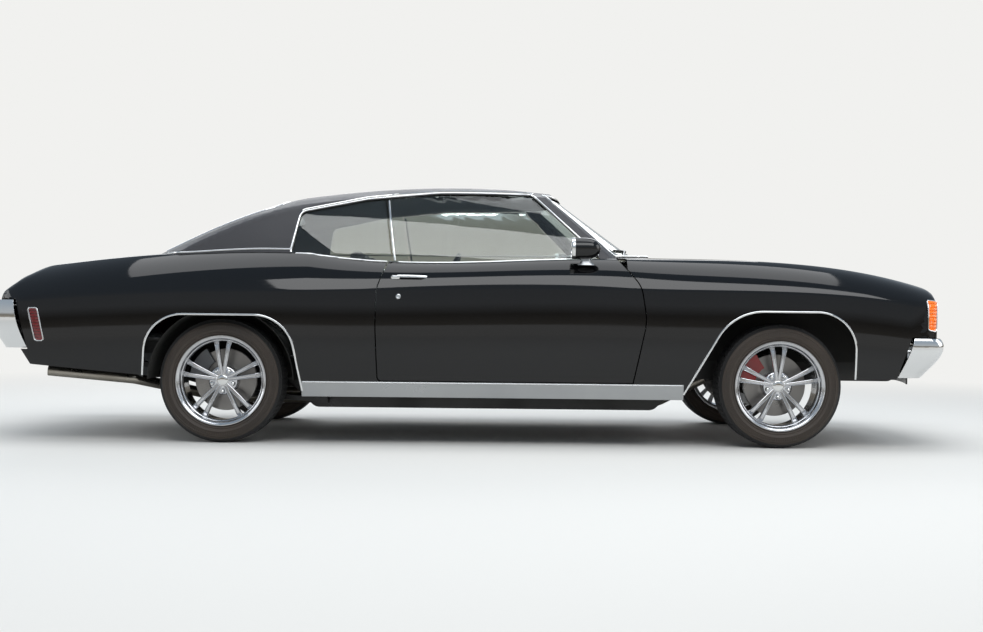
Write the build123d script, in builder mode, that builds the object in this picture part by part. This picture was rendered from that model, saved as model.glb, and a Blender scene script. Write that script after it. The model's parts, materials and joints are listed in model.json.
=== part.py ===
"""A two-door muscle car, built up from its frame, body panels, glass, cabin, doors and wheels.

Millimetres. X points forward, Y to the car's left and Z up, with the origin on the ground
under the middle of the car's length.
"""

import os
from functools import lru_cache
from math import cos, radians, sin

from build123d import *

os.makedirs("parts", exist_ok=True)

# ---------------------------------------------------------------- driving dimensions
WHEELBASE = 2845.0
AXLE_MID = 133.0          # middle of the wheelbase, ahead of the middle of the length
HALF_TRACK = 775.0        # middle of a tyre's width from the centre line
FRONT_AXLE = AXLE_MID + WHEELBASE / 2
REAR_AXLE = AXLE_MID - WHEELBASE / 2

TYRE_R = 316.0
TYRE_WIDTH = 245.0
RIM_SEAT_R = 216.0        # where the tyre's bead sits
RIM_FLANGE_R = 231.0
RIM_WIDTH = 206.0         # between the two flanges
RIM_WALL = 8.0
SPOKE_PAIRS = 5
SPOKE_FACE = 62.0         # spoke face from the middle of the rim, towards the outside
HUB_R = 76.0
SPINDLE_R = 24.0
DISC_R = 160.0
DISC_THICK = 24.0
FIT = 0.05                # radial clearance of a pin or spindle in its bore
SEAT = 0.3                # clearance between pieces that rest against each other

SKIN = 8.0                # folded edge of the outer panels
HEM_SKIN = 2.0            # thinned edge that a door swings under
LENS = 22.0               # depth of the lamps let into the panels
LID = 22.0                # hood and deck lid with their inner frames
GAP = 6.0                 # shut line between panels
DOOR_INNER_Y = 772.0      # inner face of a closed door
BODY_FLOOR = 200.0        # the body form is drawn down to here, then trimmed

HALF_HOOD = 690.0
HOOD_REAR = 912.0
HOOD_FRONT = 2334.0
HALF_DECK = 640.0
DECK_FRONT = -1806.0
DECK_REAR = -2415.0
SILL_TOP = 321.0
SILL_LOW = 243.0
SILL_DEEP = 60.0
FLOOR_Z = 256.0
FLOOR_PLATE = 8.0
FIREWALL_X = 884.0
BULKHEAD_X = -1120.0
HEEL_X = -770.0           # riser in front of the rear seat
SEAT_PAN_Z = 438.0
BOOT_FLOOR_Z = 520.0
TUNNEL_HALF = 170.0
TUNNEL_TOP = 470.0

ROOF_WALL = 34.0
GLASS = 5.0
GLASS_DEPTH = 10.0        # glass face below the outside of its pillar

HINGE_PIN_R = 5.0
HINGE_EYE_R = 11.0
DOOR_PIN_R = 4.0
DOOR_EYE_R = 8.0
DOOR_AXIS_X = 812.0
DOOR_AXIS_Y = 936.0
DOOR_HINGE_Z = (500.0, 730.0)
DOOR_HINGE_TALL = 36.0
HOOD_AXIS = (850.0, 945.0)      # x, z
DECK_AXIS = (-1900.0, 912.0)
KINGPIN_Y = 684.0
COLUMN_TILT = 24.0
WHEEL_TOP = (-190.0, 850.0)     # middle of the steering wheel: x, z
DRIVER_Y = 400.0


# ---------------------------------------------------------------- shared shapes
def outline(rows):
    """Closed outline through corners given as (u, v, radius)."""
    with BuildSketch(mode=Mode.PRIVATE) as shape:
        with BuildLine():
            Polyline(*[(u, v) for u, v, _ in rows], close=True)
        make_face()
        for u, v, radius in rows:
            if radius:
                fillet(shape.vertices().sort_by_distance((u, v))[0], radius)
    return shape.sketch


def side_block(rows, near, far):
    """Prism seen from the side: corners are (x, z, radius), and it runs from y=near to far."""
    with BuildPart() as block:
        with BuildSketch(Plane.XZ.offset(-near)):
            add(outline(rows))
        extrude(amount=near - far)
    return block.part


def top_block(rows, low, high):
    """Prism seen from above: corners are (x, y, radius), and it runs from z=low to high."""
    with BuildPart() as block:
        with BuildSketch(Plane.XY.offset(low)):
            add(outline(rows))
        extrude(amount=high - low)
    return block.part


def both_sides(piece):
    """A piece and its mirror image across the car's centre line."""
    with BuildPart() as pair:
        add(piece)
        mirror(about=Plane.XZ)
    return pair.part


def other_side(piece):
    """The mirror image of a piece across the car's centre line."""
    with BuildPart() as twin:
        add(piece)
        mirror(about=Plane.XZ, mode=Mode.REPLACE)
    return twin.part


def tube_along(points, radius, bore=0.0):
    """A round pipe along straight runs with bent corners."""
    bend = radius * 3
    with BuildPart() as pipe:
        with BuildLine() as path:
            if len(points) == 2:
                Line(*points)
            else:
                FilletPolyline(*points, radius=bend)
        with BuildSketch(Plane(path.line @ 0, z_dir=path.line % 0)):
            Circle(radius)
            if bore:
                Circle(bore, mode=Mode.SUBTRACT)
        sweep()
    return pipe.part


def keep(piece, name):
    """Name a finished piece and write it."""
    piece.label = name
    export_step(piece, f"parts/{name}.step")


# ---------------------------------------------------------------- body form
# Cross sections of the lower body, one a row:
# x, crown z on the centre line, shoulder y and z, crease y and z, sill y
BODY = [
    (2450, 805, 715, 785, 895, 705, 870),
    (1900, 938, 784, 916, 946, 780, 908),
    (1350, 982, 798, 956, 953, 798, 913),
    (800, 990, 822, 957, 946, 800, 904),
    (250, 978, 838, 944, 941, 797, 898),
    (-300, 964, 836, 929, 942, 788, 901),
    (-850, 1003, 805, 978, 953, 778, 911),
    (-1400, 1003, 786, 974, 957, 772, 914),
    (-1950, 958, 752, 930, 938, 748, 896),
    (-2500, 880, 700, 850, 892, 704, 850),
]
SHOULDER_BULGE = 20.0
SIDE_BULGE = 26.0
SHOULDER_R = 46.0
CREASE_R = 70.0
MIN_BEND = 12.0
TRIM_BELOW = 600.0        # the inner forms run on below the outer skin's lower edge

# Side view of the whole lower body: x, z, radius
PROFILE = [
    (1900, 1100, 0),
    (2330, 842, 60),
    (2385, 752, 50),
    (2366, 360, 0),
    (1900, 356, 0),
    (1840, 243, 0),
    (-1500, 243, 0),
    (-1700, 345, 0),
    (-2250, 392, 0),
    (-2442, 690, 0),
    (-2448, 722, 20),
    (-2330, 836, 150),
    (-2000, 1040, 0),
]
PROFILE_ENDS = (-2448, 2385)


# Plan view of the lower body: x, y, radius
PLAN = [
    (2374, -350, 500),
    (2374, 350, 500),
    (2350, 900, 40),
    (2200, 962, 0),
    (1900, 1100, 0),
    (-2100, 1100, 0),
    (-2280, 962, 0),
    (-2430, 850, 100),
    (-2464, 300, 500),
    (-2464, -300, 500),
    (-2430, -850, 100),
    (-2280, -962, 0),
    (-2100, -1100, 0),
    (1900, -1100, 0),
    (2200, -962, 0),
    (2350, -900, 40),
]


def bulged(start, end, bulge):
    """Arc between two points, bowed to the right of its direction by bulge."""
    length = ((end[0] - start[0]) ** 2 + (end[1] - start[1]) ** 2) ** 0.5
    across = ((end[1] - start[1]) / length, -(end[0] - start[0]) / length)
    middle = ((start[0] + end[0]) / 2 + across[0] * bulge, (start[1] + end[1]) / 2 + across[1] * bulge)
    ThreePointArc(start, middle, end)


def body_span(rows, inset):
    """Smooth solid through four neighbouring body sections."""
    with BuildPart() as form:
        for x, crown_z, top_y, top_z, side_y, side_z, sill_y in rows:
            shoulder = (top_y - inset, top_z - inset)
            crease = (side_y - inset, side_z)
            sill = (sill_y - inset, BODY_FLOOR)
            with BuildSketch(Plane((x, 0, 0), x_dir=(0, 1, 0), z_dir=(1, 0, 0))) as section:
                with BuildLine():
                    ThreePointArc((-shoulder[0], shoulder[1]), (0, crown_z - inset), shoulder)
                    bulged(crease, shoulder, SHOULDER_BULGE)
                    bulged(sill, crease, SIDE_BULGE)
                    Line(sill, (-sill[0], BODY_FLOOR))
                    bulged((-crease[0], crease[1]), (-sill[0], BODY_FLOOR), SIDE_BULGE)
                    bulged((-shoulder[0], shoulder[1]), (-crease[0], crease[1]), SHOULDER_BULGE)
                make_face()
                for corner, radius in ((shoulder, SHOULDER_R), (crease, CREASE_R)):
                    for side in (1, -1):
                        spot = (corner[0] * side, corner[1])
                        fillet(section.vertices().sort_by_distance(spot)[0], max(radius - inset, MIN_BEND))
        loft()
    return form.part


@lru_cache
def body_form(inset=0.0):
    """Solid of the lower body, with its faces moved in by inset and its floor left open."""
    with BuildPart() as form:
        for first in range(0, len(BODY) - 1, 3):
            add(body_span(BODY[first:first + 4], inset))
        with BuildSketch(Plane.XY):
            add(outline(PLAN))
            offset(amount=-inset, kind=Kind.INTERSECTION)
        extrude(amount=1400, mode=Mode.INTERSECT)
        if inset:
            with BuildSketch(Plane.XZ.offset(-1200)) as trim:
                add(outline([(x, z, 0) for x, z, _ in PROFILE]))
                offset(amount=-inset, kind=Kind.INTERSECTION)
                with Locations((sum(PROFILE_ENDS) / 2, -TRIM_BELOW / 2 + BODY_FLOOR + 300)):
                    Rectangle(PROFILE_ENDS[1] - PROFILE_ENDS[0] - 2 * inset, TRIM_BELOW)
            extrude(amount=2400, mode=Mode.INTERSECT)
        else:
            add(side_block(PROFILE, -1200, 1200), mode=Mode.INTERSECT)
    return form.part


# ---------------------------------------------------------------- greenhouse form
# Plan outlines, one level a row:
# z, windscreen x at the centre, its corner x and y, side y, rear y
LEVELS = [
    (880, 1034, 768, 812, 836, 790),
    (1090, 749, 565, 735, 776, 716),
    (1300, 464, 345, 600, 655, 610),
    (1410, 330, 230, 510, 570, 530),
]
SIDE_MIDDLE = -250.0
TAIL_OF_ROOF = -1990.0

# Roof crown, one section a row: x, z on the centre line
CROWN_FRONT = [(1140, 1180), (473, 1337), (-193, 1374), (-860, 1322)]
CROWN_REAR = [(-860, 1322), (-1170, 1250), (-1480, 1122), (-1990, 880)]
CROWN_HALF = 700.0
CROWN_DROP = 86.0


def crown_span(rows, inset):
    """Solid under the roof's crowned top, through four neighbouring sections."""
    with BuildPart() as span:
        for x, top_z in rows:
            edge = (CROWN_HALF, top_z - inset - CROWN_DROP)
            wide = (900, top_z - inset - 2 * CROWN_DROP)
            with BuildSketch(Plane((x, 0, 0), x_dir=(0, 1, 0), z_dir=(1, 0, 0))):
                with BuildLine():
                    ThreePointArc((-edge[0], edge[1]), (0, top_z - inset), edge)
                    Line(edge, wide)
                    Line(wide, (900, 500))
                    Line((900, 500), (-900, 500))
                    Line((-900, 500), (-wide[0], wide[1]))
                    Line((-wide[0], wide[1]), (-edge[0], edge[1]))
                make_face()
        loft()
    return span.part


@lru_cache
def greenhouse(inset=0.0):
    """Solid of the roof, pillars and glass, with its faces moved in by inset."""
    with BuildPart() as house:
        for z, centre_x, corner_x, corner_y, side_y, rear_y in LEVELS:
            front = (corner_x - inset, corner_y - inset)
            rear = (TAIL_OF_ROOF, rear_y - inset)
            with BuildSketch(Plane.XY.offset(z)):
                with BuildLine():
                    ThreePointArc((front[0], -front[1]), (centre_x - inset * 1.3, 0), front)
                    ThreePointArc(front, (SIDE_MIDDLE, side_y - inset), rear)
                    Line(rear, (rear[0], -rear[1]))
                    ThreePointArc((rear[0], -rear[1]), (SIDE_MIDDLE, inset - side_y), (front[0], -front[1]))
                make_face()
        loft()
    with BuildPart() as crown:
        add(crown_span(CROWN_FRONT, inset))
        add(crown_span(CROWN_REAR, inset))
    with BuildPart() as trimmed:
        add(house.part)
        add(crown.part, mode=Mode.INTERSECT)
    return trimmed.part


# ---------------------------------------------------------------- openings and shut lines
DOOR = [
    (648, 1050, 0),
    (838, 815, 150),
    (866, 640, 300),
    (800, SILL_TOP + GAP, 0),
    (-488, SILL_TOP + GAP, 20),
    (-500, 600, 300),
    (-497, 790, 200),
    (-401, 1050, 0),
]
SIDE_WINDOW = [
    (285, 1300, 20),
    (-190, 1297, 400),
    (-560, 1258, 300),
    (-905, 1186, 40),
    (-945, 985, 25),
    (-900, 860, 0),
    (745, 860, 0),
]
WINDOW_SPLIT_TOP = (-474, 1310)
WINDOW_SPLIT_LOW = (-414, 860)
SPLIT_GAP = 8.0
FRONT_ARCH = [(362, 150, 0), (366, 690, 190), (-250, 690, 260), (-560, 150, 0)]
REAR_ARCH = [(-395, 150, 0), (-362, 648, 190), (340, 648, 200), (440, 150, 0)]
SCREEN = [(-722, 930, 50), (-548, 1298, 60), (548, 1298, 60), (722, 930, 50)]
BACKLIGHT = [(-1050, 545, 80), (-1050, -545, 80), (-1800, -628, 0), (-1800, 628, 0)]


def shifted(rows, x):
    """The same outline moved along x."""
    return [(u + x, v, radius) for u, v, radius in rows]


def grown(block_rows, amount, near, far):
    """Side prism of an outline grown outwards by amount."""
    with BuildPart() as block:
        with BuildSketch(Plane.XZ.offset(-near)):
            add(outline(block_rows))
            offset(amount=amount, kind=Kind.INTERSECTION)
        extrude(amount=near - far)
    return block.part


OUTER = body_form()
INNER = body_form(SKIN)
with BuildPart() as shell_block:
    add(OUTER)
    add(INNER, mode=Mode.SUBTRACT)
SHELL = shell_block.part

HOUSE = greenhouse()
HOUSE_INNER = greenhouse(ROOF_WALL)
with BuildPart() as pane_block:
    add(greenhouse(GLASS_DEPTH))
    add(greenhouse(GLASS_DEPTH + GLASS), mode=Mode.SUBTRACT)
PANES = pane_block.part
with BuildPart() as pane_slot_block:
    add(greenhouse(GLASS_DEPTH - SPLIT_GAP))
    add(greenhouse(GLASS_DEPTH + GLASS + SPLIT_GAP), mode=Mode.SUBTRACT)
PANE_SLOT = pane_slot_block.part


# ---------------------------------------------------------------- outer panels, right side first
HOOD_ZONE = [(HOOD_REAR, -HALF_HOOD, 0), (HOOD_FRONT, -HALF_HOOD, 0),
             (HOOD_FRONT, HALF_HOOD, 0), (HOOD_REAR, HALF_HOOD, 0)]
DECK_ZONE = [(DECK_REAR, -HALF_DECK, 60), (DECK_FRONT, -HALF_DECK, 60),
             (DECK_FRONT, HALF_DECK, 60), (DECK_REAR, HALF_DECK, 60)]


def zone_block(rows, amount, low, high):
    """Vertical prism of a plan outline grown outwards by amount."""
    with BuildPart() as block:
        with BuildSketch(Plane.XY.offset(low)):
            add(outline(rows))
            offset(amount=amount, kind=Kind.INTERSECTION)
        extrude(amount=high - low)
    return block.part


def lowered(piece, drop):
    """A copy of a piece moved straight down."""
    return Pos(0, 0, -drop) * piece


DOOR_CUT = grown(DOOR, GAP, -1200, -300)
DOOR_HEM_CUT = grown(DOOR, GAP + 6, -1200, -300)
with BuildPart() as hem_block:
    add(DOOR_HEM_CUT)
    add(body_form(HEM_SKIN), mode=Mode.INTERSECT)
DOOR_HEM = hem_block.part
FRONT_ARCH_CUT = side_block(shifted(FRONT_ARCH, FRONT_AXLE), -1200, -560)
REAR_ARCH_CUT = side_block(shifted(REAR_ARCH, REAR_AXLE), -1200, -560)
SILL_FRONT = FRONT_AXLE - 497
SILL_REAR = REAR_AXLE + 418
COWL_FRONT = HOOD_REAR - 6
NOSE_X = HOOD_FRONT + GAP
TAIL_X = -2426.0
TAIL_HALF = 826.0
CORNER_LAMP = [(2296, 612, 12), (2341, 604, 8), (2350, 756, 8), (2296, 762, 12)]
SIDE_MARKER = [(-2262, 676, 6), (-2216, 676, 6), (-2178, 512, 6), (-2222, 512, 6)]

FRONT_BLADE_CUT = [(2112, 300, 0), (2136, 366, 0), (2210, 573, 0), (2600, 573, 0), (2600, 300, 0)]
REAR_BLADE_CUT = [(-2600, 722, 0), (-2330, 722, 0), (-2306, 628, 0), (-2262, 468, 0), (-2600, 468, 0)]

with BuildPart() as fender_right:
    add(SHELL)
    add(side_block(FRONT_BLADE_CUT, -1200, 0), mode=Mode.SUBTRACT)
    with Locations((FIREWALL_X - 110, 0, 0)):
        Box(NOSE_X - FIREWALL_X + 110, 1200, 1500, align=(Align.MIN, Align.MAX, Align.MIN),
            mode=Mode.INTERSECT)
    add(DOOR_CUT, mode=Mode.SUBTRACT)
    add(DOOR_HEM, mode=Mode.SUBTRACT)
    add(FRONT_ARCH_CUT, mode=Mode.SUBTRACT)
    with Locations((-200, 0, 0)):
        Box(COWL_FRONT + 200, 2 * (HALF_HOOD + GAP), 1500, align=(Align.MIN, Align.CENTER, Align.MIN),
            mode=Mode.SUBTRACT)
    add(zone_block(HOOD_ZONE, GAP, 500, 1500), mode=Mode.SUBTRACT)
    with Locations((SILL_FRONT - 300, 0, 0)):
        Box(300, 1200, SILL_TOP + SEAT, align=(Align.MIN, Align.MAX, Align.MIN), mode=Mode.SUBTRACT)
    add(grown(CORNER_LAMP, SEAT, -1200, -800 + SEAT), mode=Mode.SUBTRACT)

with BuildPart() as quarter_right:
    add(SHELL)
    add(side_block(REAR_BLADE_CUT, -1200, 0), mode=Mode.SUBTRACT)
    with Locations((TAIL_X, 0, 0)):
        Box(-300 - TAIL_X, 1200, 1500, align=(Align.MIN, Align.MAX, Align.MIN), mode=Mode.INTERSECT)
    add(DOOR_CUT, mode=Mode.SUBTRACT)
    add(DOOR_HEM, mode=Mode.SUBTRACT)
    add(REAR_ARCH_CUT, mode=Mode.SUBTRACT)
    add(greenhouse(-SEAT), mode=Mode.SUBTRACT)
    add(zone_block(DECK_ZONE, GAP, 500, 1500), mode=Mode.SUBTRACT)
    with Locations((TAIL_X - 100, 0, 0)):
        Box(2400, 2 * (HALF_DECK + GAP), 1500, align=(Align.MIN, Align.CENTER, Align.MIN),
            mode=Mode.SUBTRACT)
    with Locations((SILL_REAR, 0, 0)):
        Box(600, 1200, SILL_TOP + SEAT, align=(Align.MIN, Align.MAX, Align.MIN), mode=Mode.SUBTRACT)
    add(grown(SIDE_MARKER, SEAT, -1200, -780), mode=Mode.SUBTRACT)

keep(fender_right.part, "fender_right")
keep(other_side(fender_right.part), "fender_left")
keep(quarter_right.part, "quarter_right")
keep(other_side(quarter_right.part), "quarter_left")


def box_at(x0, x1, y0, y1, z0, z1):
    """Plain block between two corners, made by itself."""
    size = (x1 - x0, y1 - y0, z1 - z0)
    return Pos((x0 + x1) / 2, (y0 + y1) / 2, (z0 + z1) / 2) * Box(*size, mode=Mode.PRIVATE)


def rod_y(x, z, y0, y1, radius):
    """Round bar along y, made by itself."""
    bar = Cylinder(radius, y1 - y0, mode=Mode.PRIVATE)
    return Pos(x, (y0 + y1) / 2, z) * Rot(90, 0, 0) * bar


def rod_z(x, y, z0, z1, radius):
    """Upright round bar, made by itself."""
    return Pos(x, y, (z0 + z1) / 2) * Cylinder(radius, z1 - z0, mode=Mode.PRIVATE)


def beside(rows, place):
    """The same side outline moved to a place given as (x, z)."""
    return [(u + place[0], v + place[1], radius) for u, v, radius in rows]


# ---------------------------------------------------------------- hood and deck lid
HOOD_ARM_Y = (640.0, 652.0)
HOOD_ARM = [(-7, -4, 0), (33, -77, 0), (48, -73, 0), (128, 2, 0), (128, 12, 0), (108, 12, 0),
            (42, -54, 0), (8, 6, 0)]
HOOD_LIP = 4.0            # thickness of the hood's rear edge, which swings over the cowl
HOOD_LIP_LONG = 14.0
DECK_ARM_Y = (500.0, 512.0)

with BuildPart() as lip_relief:
    add(lowered(OUTER, HOOD_LIP))
    add(box_at(HOOD_REAR - 1, HOOD_REAR + HOOD_LIP_LONG, -HALF_HOOD, HALF_HOOD, 600, 1500), mode=Mode.INTERSECT)
with BuildPart() as hood:
    add(OUTER)
    add(lowered(OUTER, LID), mode=Mode.SUBTRACT)
    add(zone_block(HOOD_ZONE, 0, 600, 1500), mode=Mode.INTERSECT)
    add(lip_relief.part, mode=Mode.SUBTRACT)
    for side in (1, -1):
        y0, y1 = sorted((side * HOOD_ARM_Y[0], side * HOOD_ARM_Y[1]))
        add(side_block(beside(HOOD_ARM, HOOD_AXIS), y0, y1))
        add(rod_y(*HOOD_AXIS, y0, y1, HINGE_EYE_R))
        add(rod_y(*HOOD_AXIS, y0 - 1, y1 + 1, HINGE_PIN_R + FIT), mode=Mode.SUBTRACT)
keep(hood.part, "hood")

with BuildPart() as deck_lid:
    add(OUTER)
    add(lowered(OUTER, LID), mode=Mode.SUBTRACT)
    add(zone_block(DECK_ZONE, 0, 700, 1500), mode=Mode.INTERSECT)
    for side in (1, -1):
        y0, y1 = sorted((side * DECK_ARM_Y[0], side * DECK_ARM_Y[1]))
        add(box_at(DECK_AXIS[0] - 9, DECK_AXIS[0] + 9, y0, y1, DECK_AXIS[1], DECK_AXIS[1] + 24))
        add(rod_y(*DECK_AXIS, y0, y1, HINGE_EYE_R))
        add(rod_y(*DECK_AXIS, y0 - 1, y1 + 1, HINGE_PIN_R + FIT), mode=Mode.SUBTRACT)
keep(deck_lid.part, "deck_lid")

# ---------------------------------------------------------------- doors
DOOR_POCKET = 8.0         # room round the fixed hinge arm, inside the door
HINGE_ARM_IN = 62.0       # the fixed arm's reach inwards before it turns forward
HINGE_ARM = 8.0
HINGE_ARM_BACK = 5.0      # the arm's middle behind the hinge axis, clear of the open door's edge

with BuildPart() as door_right:
    add(side_block(DOOR, -1200, -DOOR_INNER_Y))
    add(OUTER, mode=Mode.INTERSECT)
    add(PANE_SLOT, mode=Mode.SUBTRACT)
    for z in DOOR_HINGE_Z:
        low = z - DOOR_HINGE_TALL / 2 - DOOR_POCKET
        high = z + DOOR_HINGE_TALL / 2 + DOOR_POCKET
        reach = DOOR_EYE_R + DOOR_POCKET
        add(box_at(DOOR_AXIS_X - reach, DOOR_AXIS_X + 60, -DOOR_AXIS_Y, -DOOR_INNER_Y + 10, low, high),
            mode=Mode.SUBTRACT)
        add(rod_z(DOOR_AXIS_X, -DOOR_AXIS_Y, low, high, DOOR_EYE_R + 3), mode=Mode.SUBTRACT)
        add(rod_z(DOOR_AXIS_X, -DOOR_AXIS_Y, low - 5, high + 5, DOOR_PIN_R))
keep(door_right.part, "door_right")
keep(other_side(door_right.part), "door_left")

WINDOW_ZONE = side_block(SIDE_WINDOW, -1000, -400)
with BuildPart() as split_block:
    with BuildSketch(Plane.XZ.offset(400)):
        with BuildLine():
            Polyline(WINDOW_SPLIT_TOP, (1000, WINDOW_SPLIT_TOP[1]), (1000, WINDOW_SPLIT_LOW[1]),
                     WINDOW_SPLIT_LOW, close=True)
        make_face()
    extrude(amount=600)
AHEAD_OF_SPLIT = split_block.part

with BuildPart() as door_glass_right:
    add(PANES)
    add(grown(SIDE_WINDOW, -GAP, -1000, -400), mode=Mode.INTERSECT)
    add(AHEAD_OF_SPLIT, mode=Mode.INTERSECT)
with BuildPart() as quarter_glass_right:
    add(PANES)
    add(grown(SIDE_WINDOW, -SEAT, -1000, -400), mode=Mode.INTERSECT)
    add(lowered(AHEAD_OF_SPLIT, 0).moved(Location((-SPLIT_GAP, 0, 0))), mode=Mode.SUBTRACT)
    add(quarter_right.part, mode=Mode.SUBTRACT)
keep(door_glass_right.part, "door_glass_right")
keep(other_side(door_glass_right.part), "door_glass_left")
keep(both_sides(quarter_glass_right.part), "quarter_glass")

# ---------------------------------------------------------------- roof, screens and cowl
SCREEN_ZONE_X = (280.0, 1100.0)


def screen_block(amount):
    """Prism of the windscreen opening, along the car."""
    with BuildPart() as block:
        with BuildSketch(Plane.YZ.offset(SCREEN_ZONE_X[0])):
            add(outline(SCREEN))
            if amount:
                offset(amount=amount, kind=Kind.INTERSECTION)
        extrude(amount=SCREEN_ZONE_X[1] - SCREEN_ZONE_X[0])
    return block.part


with BuildPart() as roof:
    add(HOUSE)
    add(HOUSE_INNER, mode=Mode.SUBTRACT)
    add(both_sides(side_block(SIDE_WINDOW, -1000, -400)), mode=Mode.SUBTRACT)
    add(screen_block(0), mode=Mode.SUBTRACT)
    add(zone_block(BACKLIGHT, 0, 850, 1500), mode=Mode.SUBTRACT)
    add(OUTER, mode=Mode.SUBTRACT)
keep(roof.part, "roof")

with BuildPart() as windscreen:
    add(PANES)
    add(screen_block(-SEAT), mode=Mode.INTERSECT)
    add(OUTER, mode=Mode.SUBTRACT)
keep(windscreen.part, "windscreen")
with BuildPart() as backlight:
    add(PANES)
    add(zone_block(BACKLIGHT, -SEAT, 850, 1500), mode=Mode.INTERSECT)
    add(OUTER, mode=Mode.SUBTRACT)
keep(backlight.part, "backlight")

COWL_Z = 858.0
TRAY_REAR = 806.0
COWL_HALF = HALF_HOOD + GAP - SEAT
COWL_SKIN = [(COWL_FRONT - 4, -COWL_HALF, 0), (COWL_FRONT - 4, COWL_HALF, 0), (700, COWL_HALF, 0),
             (860, 200, 0), (860, -200, 0), (700, -COWL_HALF, 0)]
COWL_WALL = (FIREWALL_X + 5, FIREWALL_X + 13)
COWL_WALL_HALF = 600.0
with BuildPart() as cowl:
    add(body_form(SKIN + SEAT))
    add(box_at(FIREWALL_X, FIREWALL_X + 8, -900, 900, FLOOR_Z, COWL_Z), mode=Mode.INTERSECT)
    with BuildPart(mode=Mode.PRIVATE) as tray:
        add(body_form(SKIN + SEAT))
        add(box_at(TRAY_REAR, COWL_WALL[1], -740, 740, COWL_Z - 6, COWL_Z), mode=Mode.INTERSECT)
    add(tray.part)
    with BuildPart(mode=Mode.PRIVATE) as skin:
        add(lowered(SHELL, SEAT))
        add(top_block(COWL_SKIN, 700, 1200), mode=Mode.INTERSECT)
    add(skin.part)
    with BuildPart(mode=Mode.PRIVATE) as wall:
        add(body_form(HEM_SKIN))
        add(box_at(*COWL_WALL, -COWL_WALL_HALF, COWL_WALL_HALF, COWL_Z - 6, 1200), mode=Mode.INTERSECT)
    add(wall.part)
    add(box_at(FIREWALL_X - 20, FIREWALL_X + 20, -TUNNEL_HALF, TUNNEL_HALF, 0, TUNNEL_TOP), mode=Mode.SUBTRACT)
    for side in (1, -1):
        outer_low = sorted((side * 820, side * 1000))
        add(box_at(FIREWALL_X - 20, FIREWALL_X + 20, *outer_low, 0, SILL_TOP + SEAT), mode=Mode.SUBTRACT)
    for side in (1, -1):
        for z in DOOR_HINGE_Z:
            eye_y = side * DOOR_AXIS_Y
            arm_y = side * (DOOR_AXIS_Y - HINGE_ARM_IN)
            low, high = z - DOOR_HINGE_TALL / 2, z + DOOR_HINGE_TALL / 2
            inward = sorted((eye_y, arm_y - side * HINGE_ARM / 2))
            across = sorted((arm_y - side * HINGE_ARM / 2, arm_y + side * HINGE_ARM / 2))
            arm_x = DOOR_AXIS_X - HINGE_ARM_BACK
            add(box_at(arm_x - HINGE_ARM / 2, arm_x + HINGE_ARM / 2, *inward, low, high))
            add(box_at(arm_x, FIREWALL_X, *across, low, high))
            add(rod_z(DOOR_AXIS_X, eye_y, low, high, DOOR_EYE_R))
            add(rod_z(DOOR_AXIS_X, eye_y, low - 1, high + 1, DOOR_PIN_R + FIT), mode=Mode.SUBTRACT)
        pin_y = sorted((side * (HOOD_ARM_Y[0] - 14), side * (HOOD_ARM_Y[1] + 6)))
        post_y = sorted((side * (HOOD_ARM_Y[0] - 14), side * (HOOD_ARM_Y[0] - 6)))
        add(rod_y(*HOOD_AXIS, *pin_y, HINGE_PIN_R))
        add(box_at(HOOD_AXIS[0] - 10, HOOD_AXIS[0] + 10, *post_y, COWL_Z - 3, HOOD_AXIS[1] + 7))
keep(cowl.part, "cowl")

# ---------------------------------------------------------------- floor, sills and tail
TUB_HALF = 590.0          # inner face of the rear wheel housings
TUB_R = 372.0

with BuildPart() as sill_right:
    add(OUTER)
    add(body_form(SILL_DEEP), mode=Mode.SUBTRACT)
    add(box_at(SILL_REAR, SILL_FRONT, -1200, 0, 0, SILL_TOP), mode=Mode.INTERSECT)
keep(both_sides(sill_right.part), "sills")

with BuildPart() as floor:
    add(body_form(SILL_DEEP + 4))
    with BuildPart(mode=Mode.PRIVATE) as pan:
        add(box_at(HEEL_X, FIREWALL_X - SEAT, -1000, 1000, FLOOR_Z, FLOOR_Z + FLOOR_PLATE))
        add(box_at(HEEL_X - FLOOR_PLATE, HEEL_X, -1000, 1000, FLOOR_Z, SEAT_PAN_Z))
        add(box_at(BULKHEAD_X, HEEL_X, -1000, 1000, SEAT_PAN_Z, SEAT_PAN_Z + FLOOR_PLATE))
        add(box_at(BULKHEAD_X - FLOOR_PLATE, BULKHEAD_X, -1000, 1000, SEAT_PAN_Z, 900))
        add(box_at(-2400, BULKHEAD_X, -1000, 1000, BOOT_FLOOR_Z, BOOT_FLOOR_Z + FLOOR_PLATE))
        add(box_at(BULKHEAD_X, FIREWALL_X - SEAT, -TUNNEL_HALF, TUNNEL_HALF, FLOOR_Z, TUNNEL_TOP))
        add(box_at(BULKHEAD_X - 10, FIREWALL_X + 10, FLOOR_PLATE - TUNNEL_HALF, TUNNEL_HALF - FLOOR_PLATE,
                   FLOOR_Z - 10, TUNNEL_TOP - FLOOR_PLATE), mode=Mode.SUBTRACT)
        for side in (1, -1):
            add(rod_y(REAR_AXLE, TYRE_R, *sorted((side * (TUB_HALF - SEAT), side * 1000)), TUB_R + SEAT),
                mode=Mode.SUBTRACT)
    add(pan.part, mode=Mode.INTERSECT)
keep(floor.part, "floor")

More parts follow.
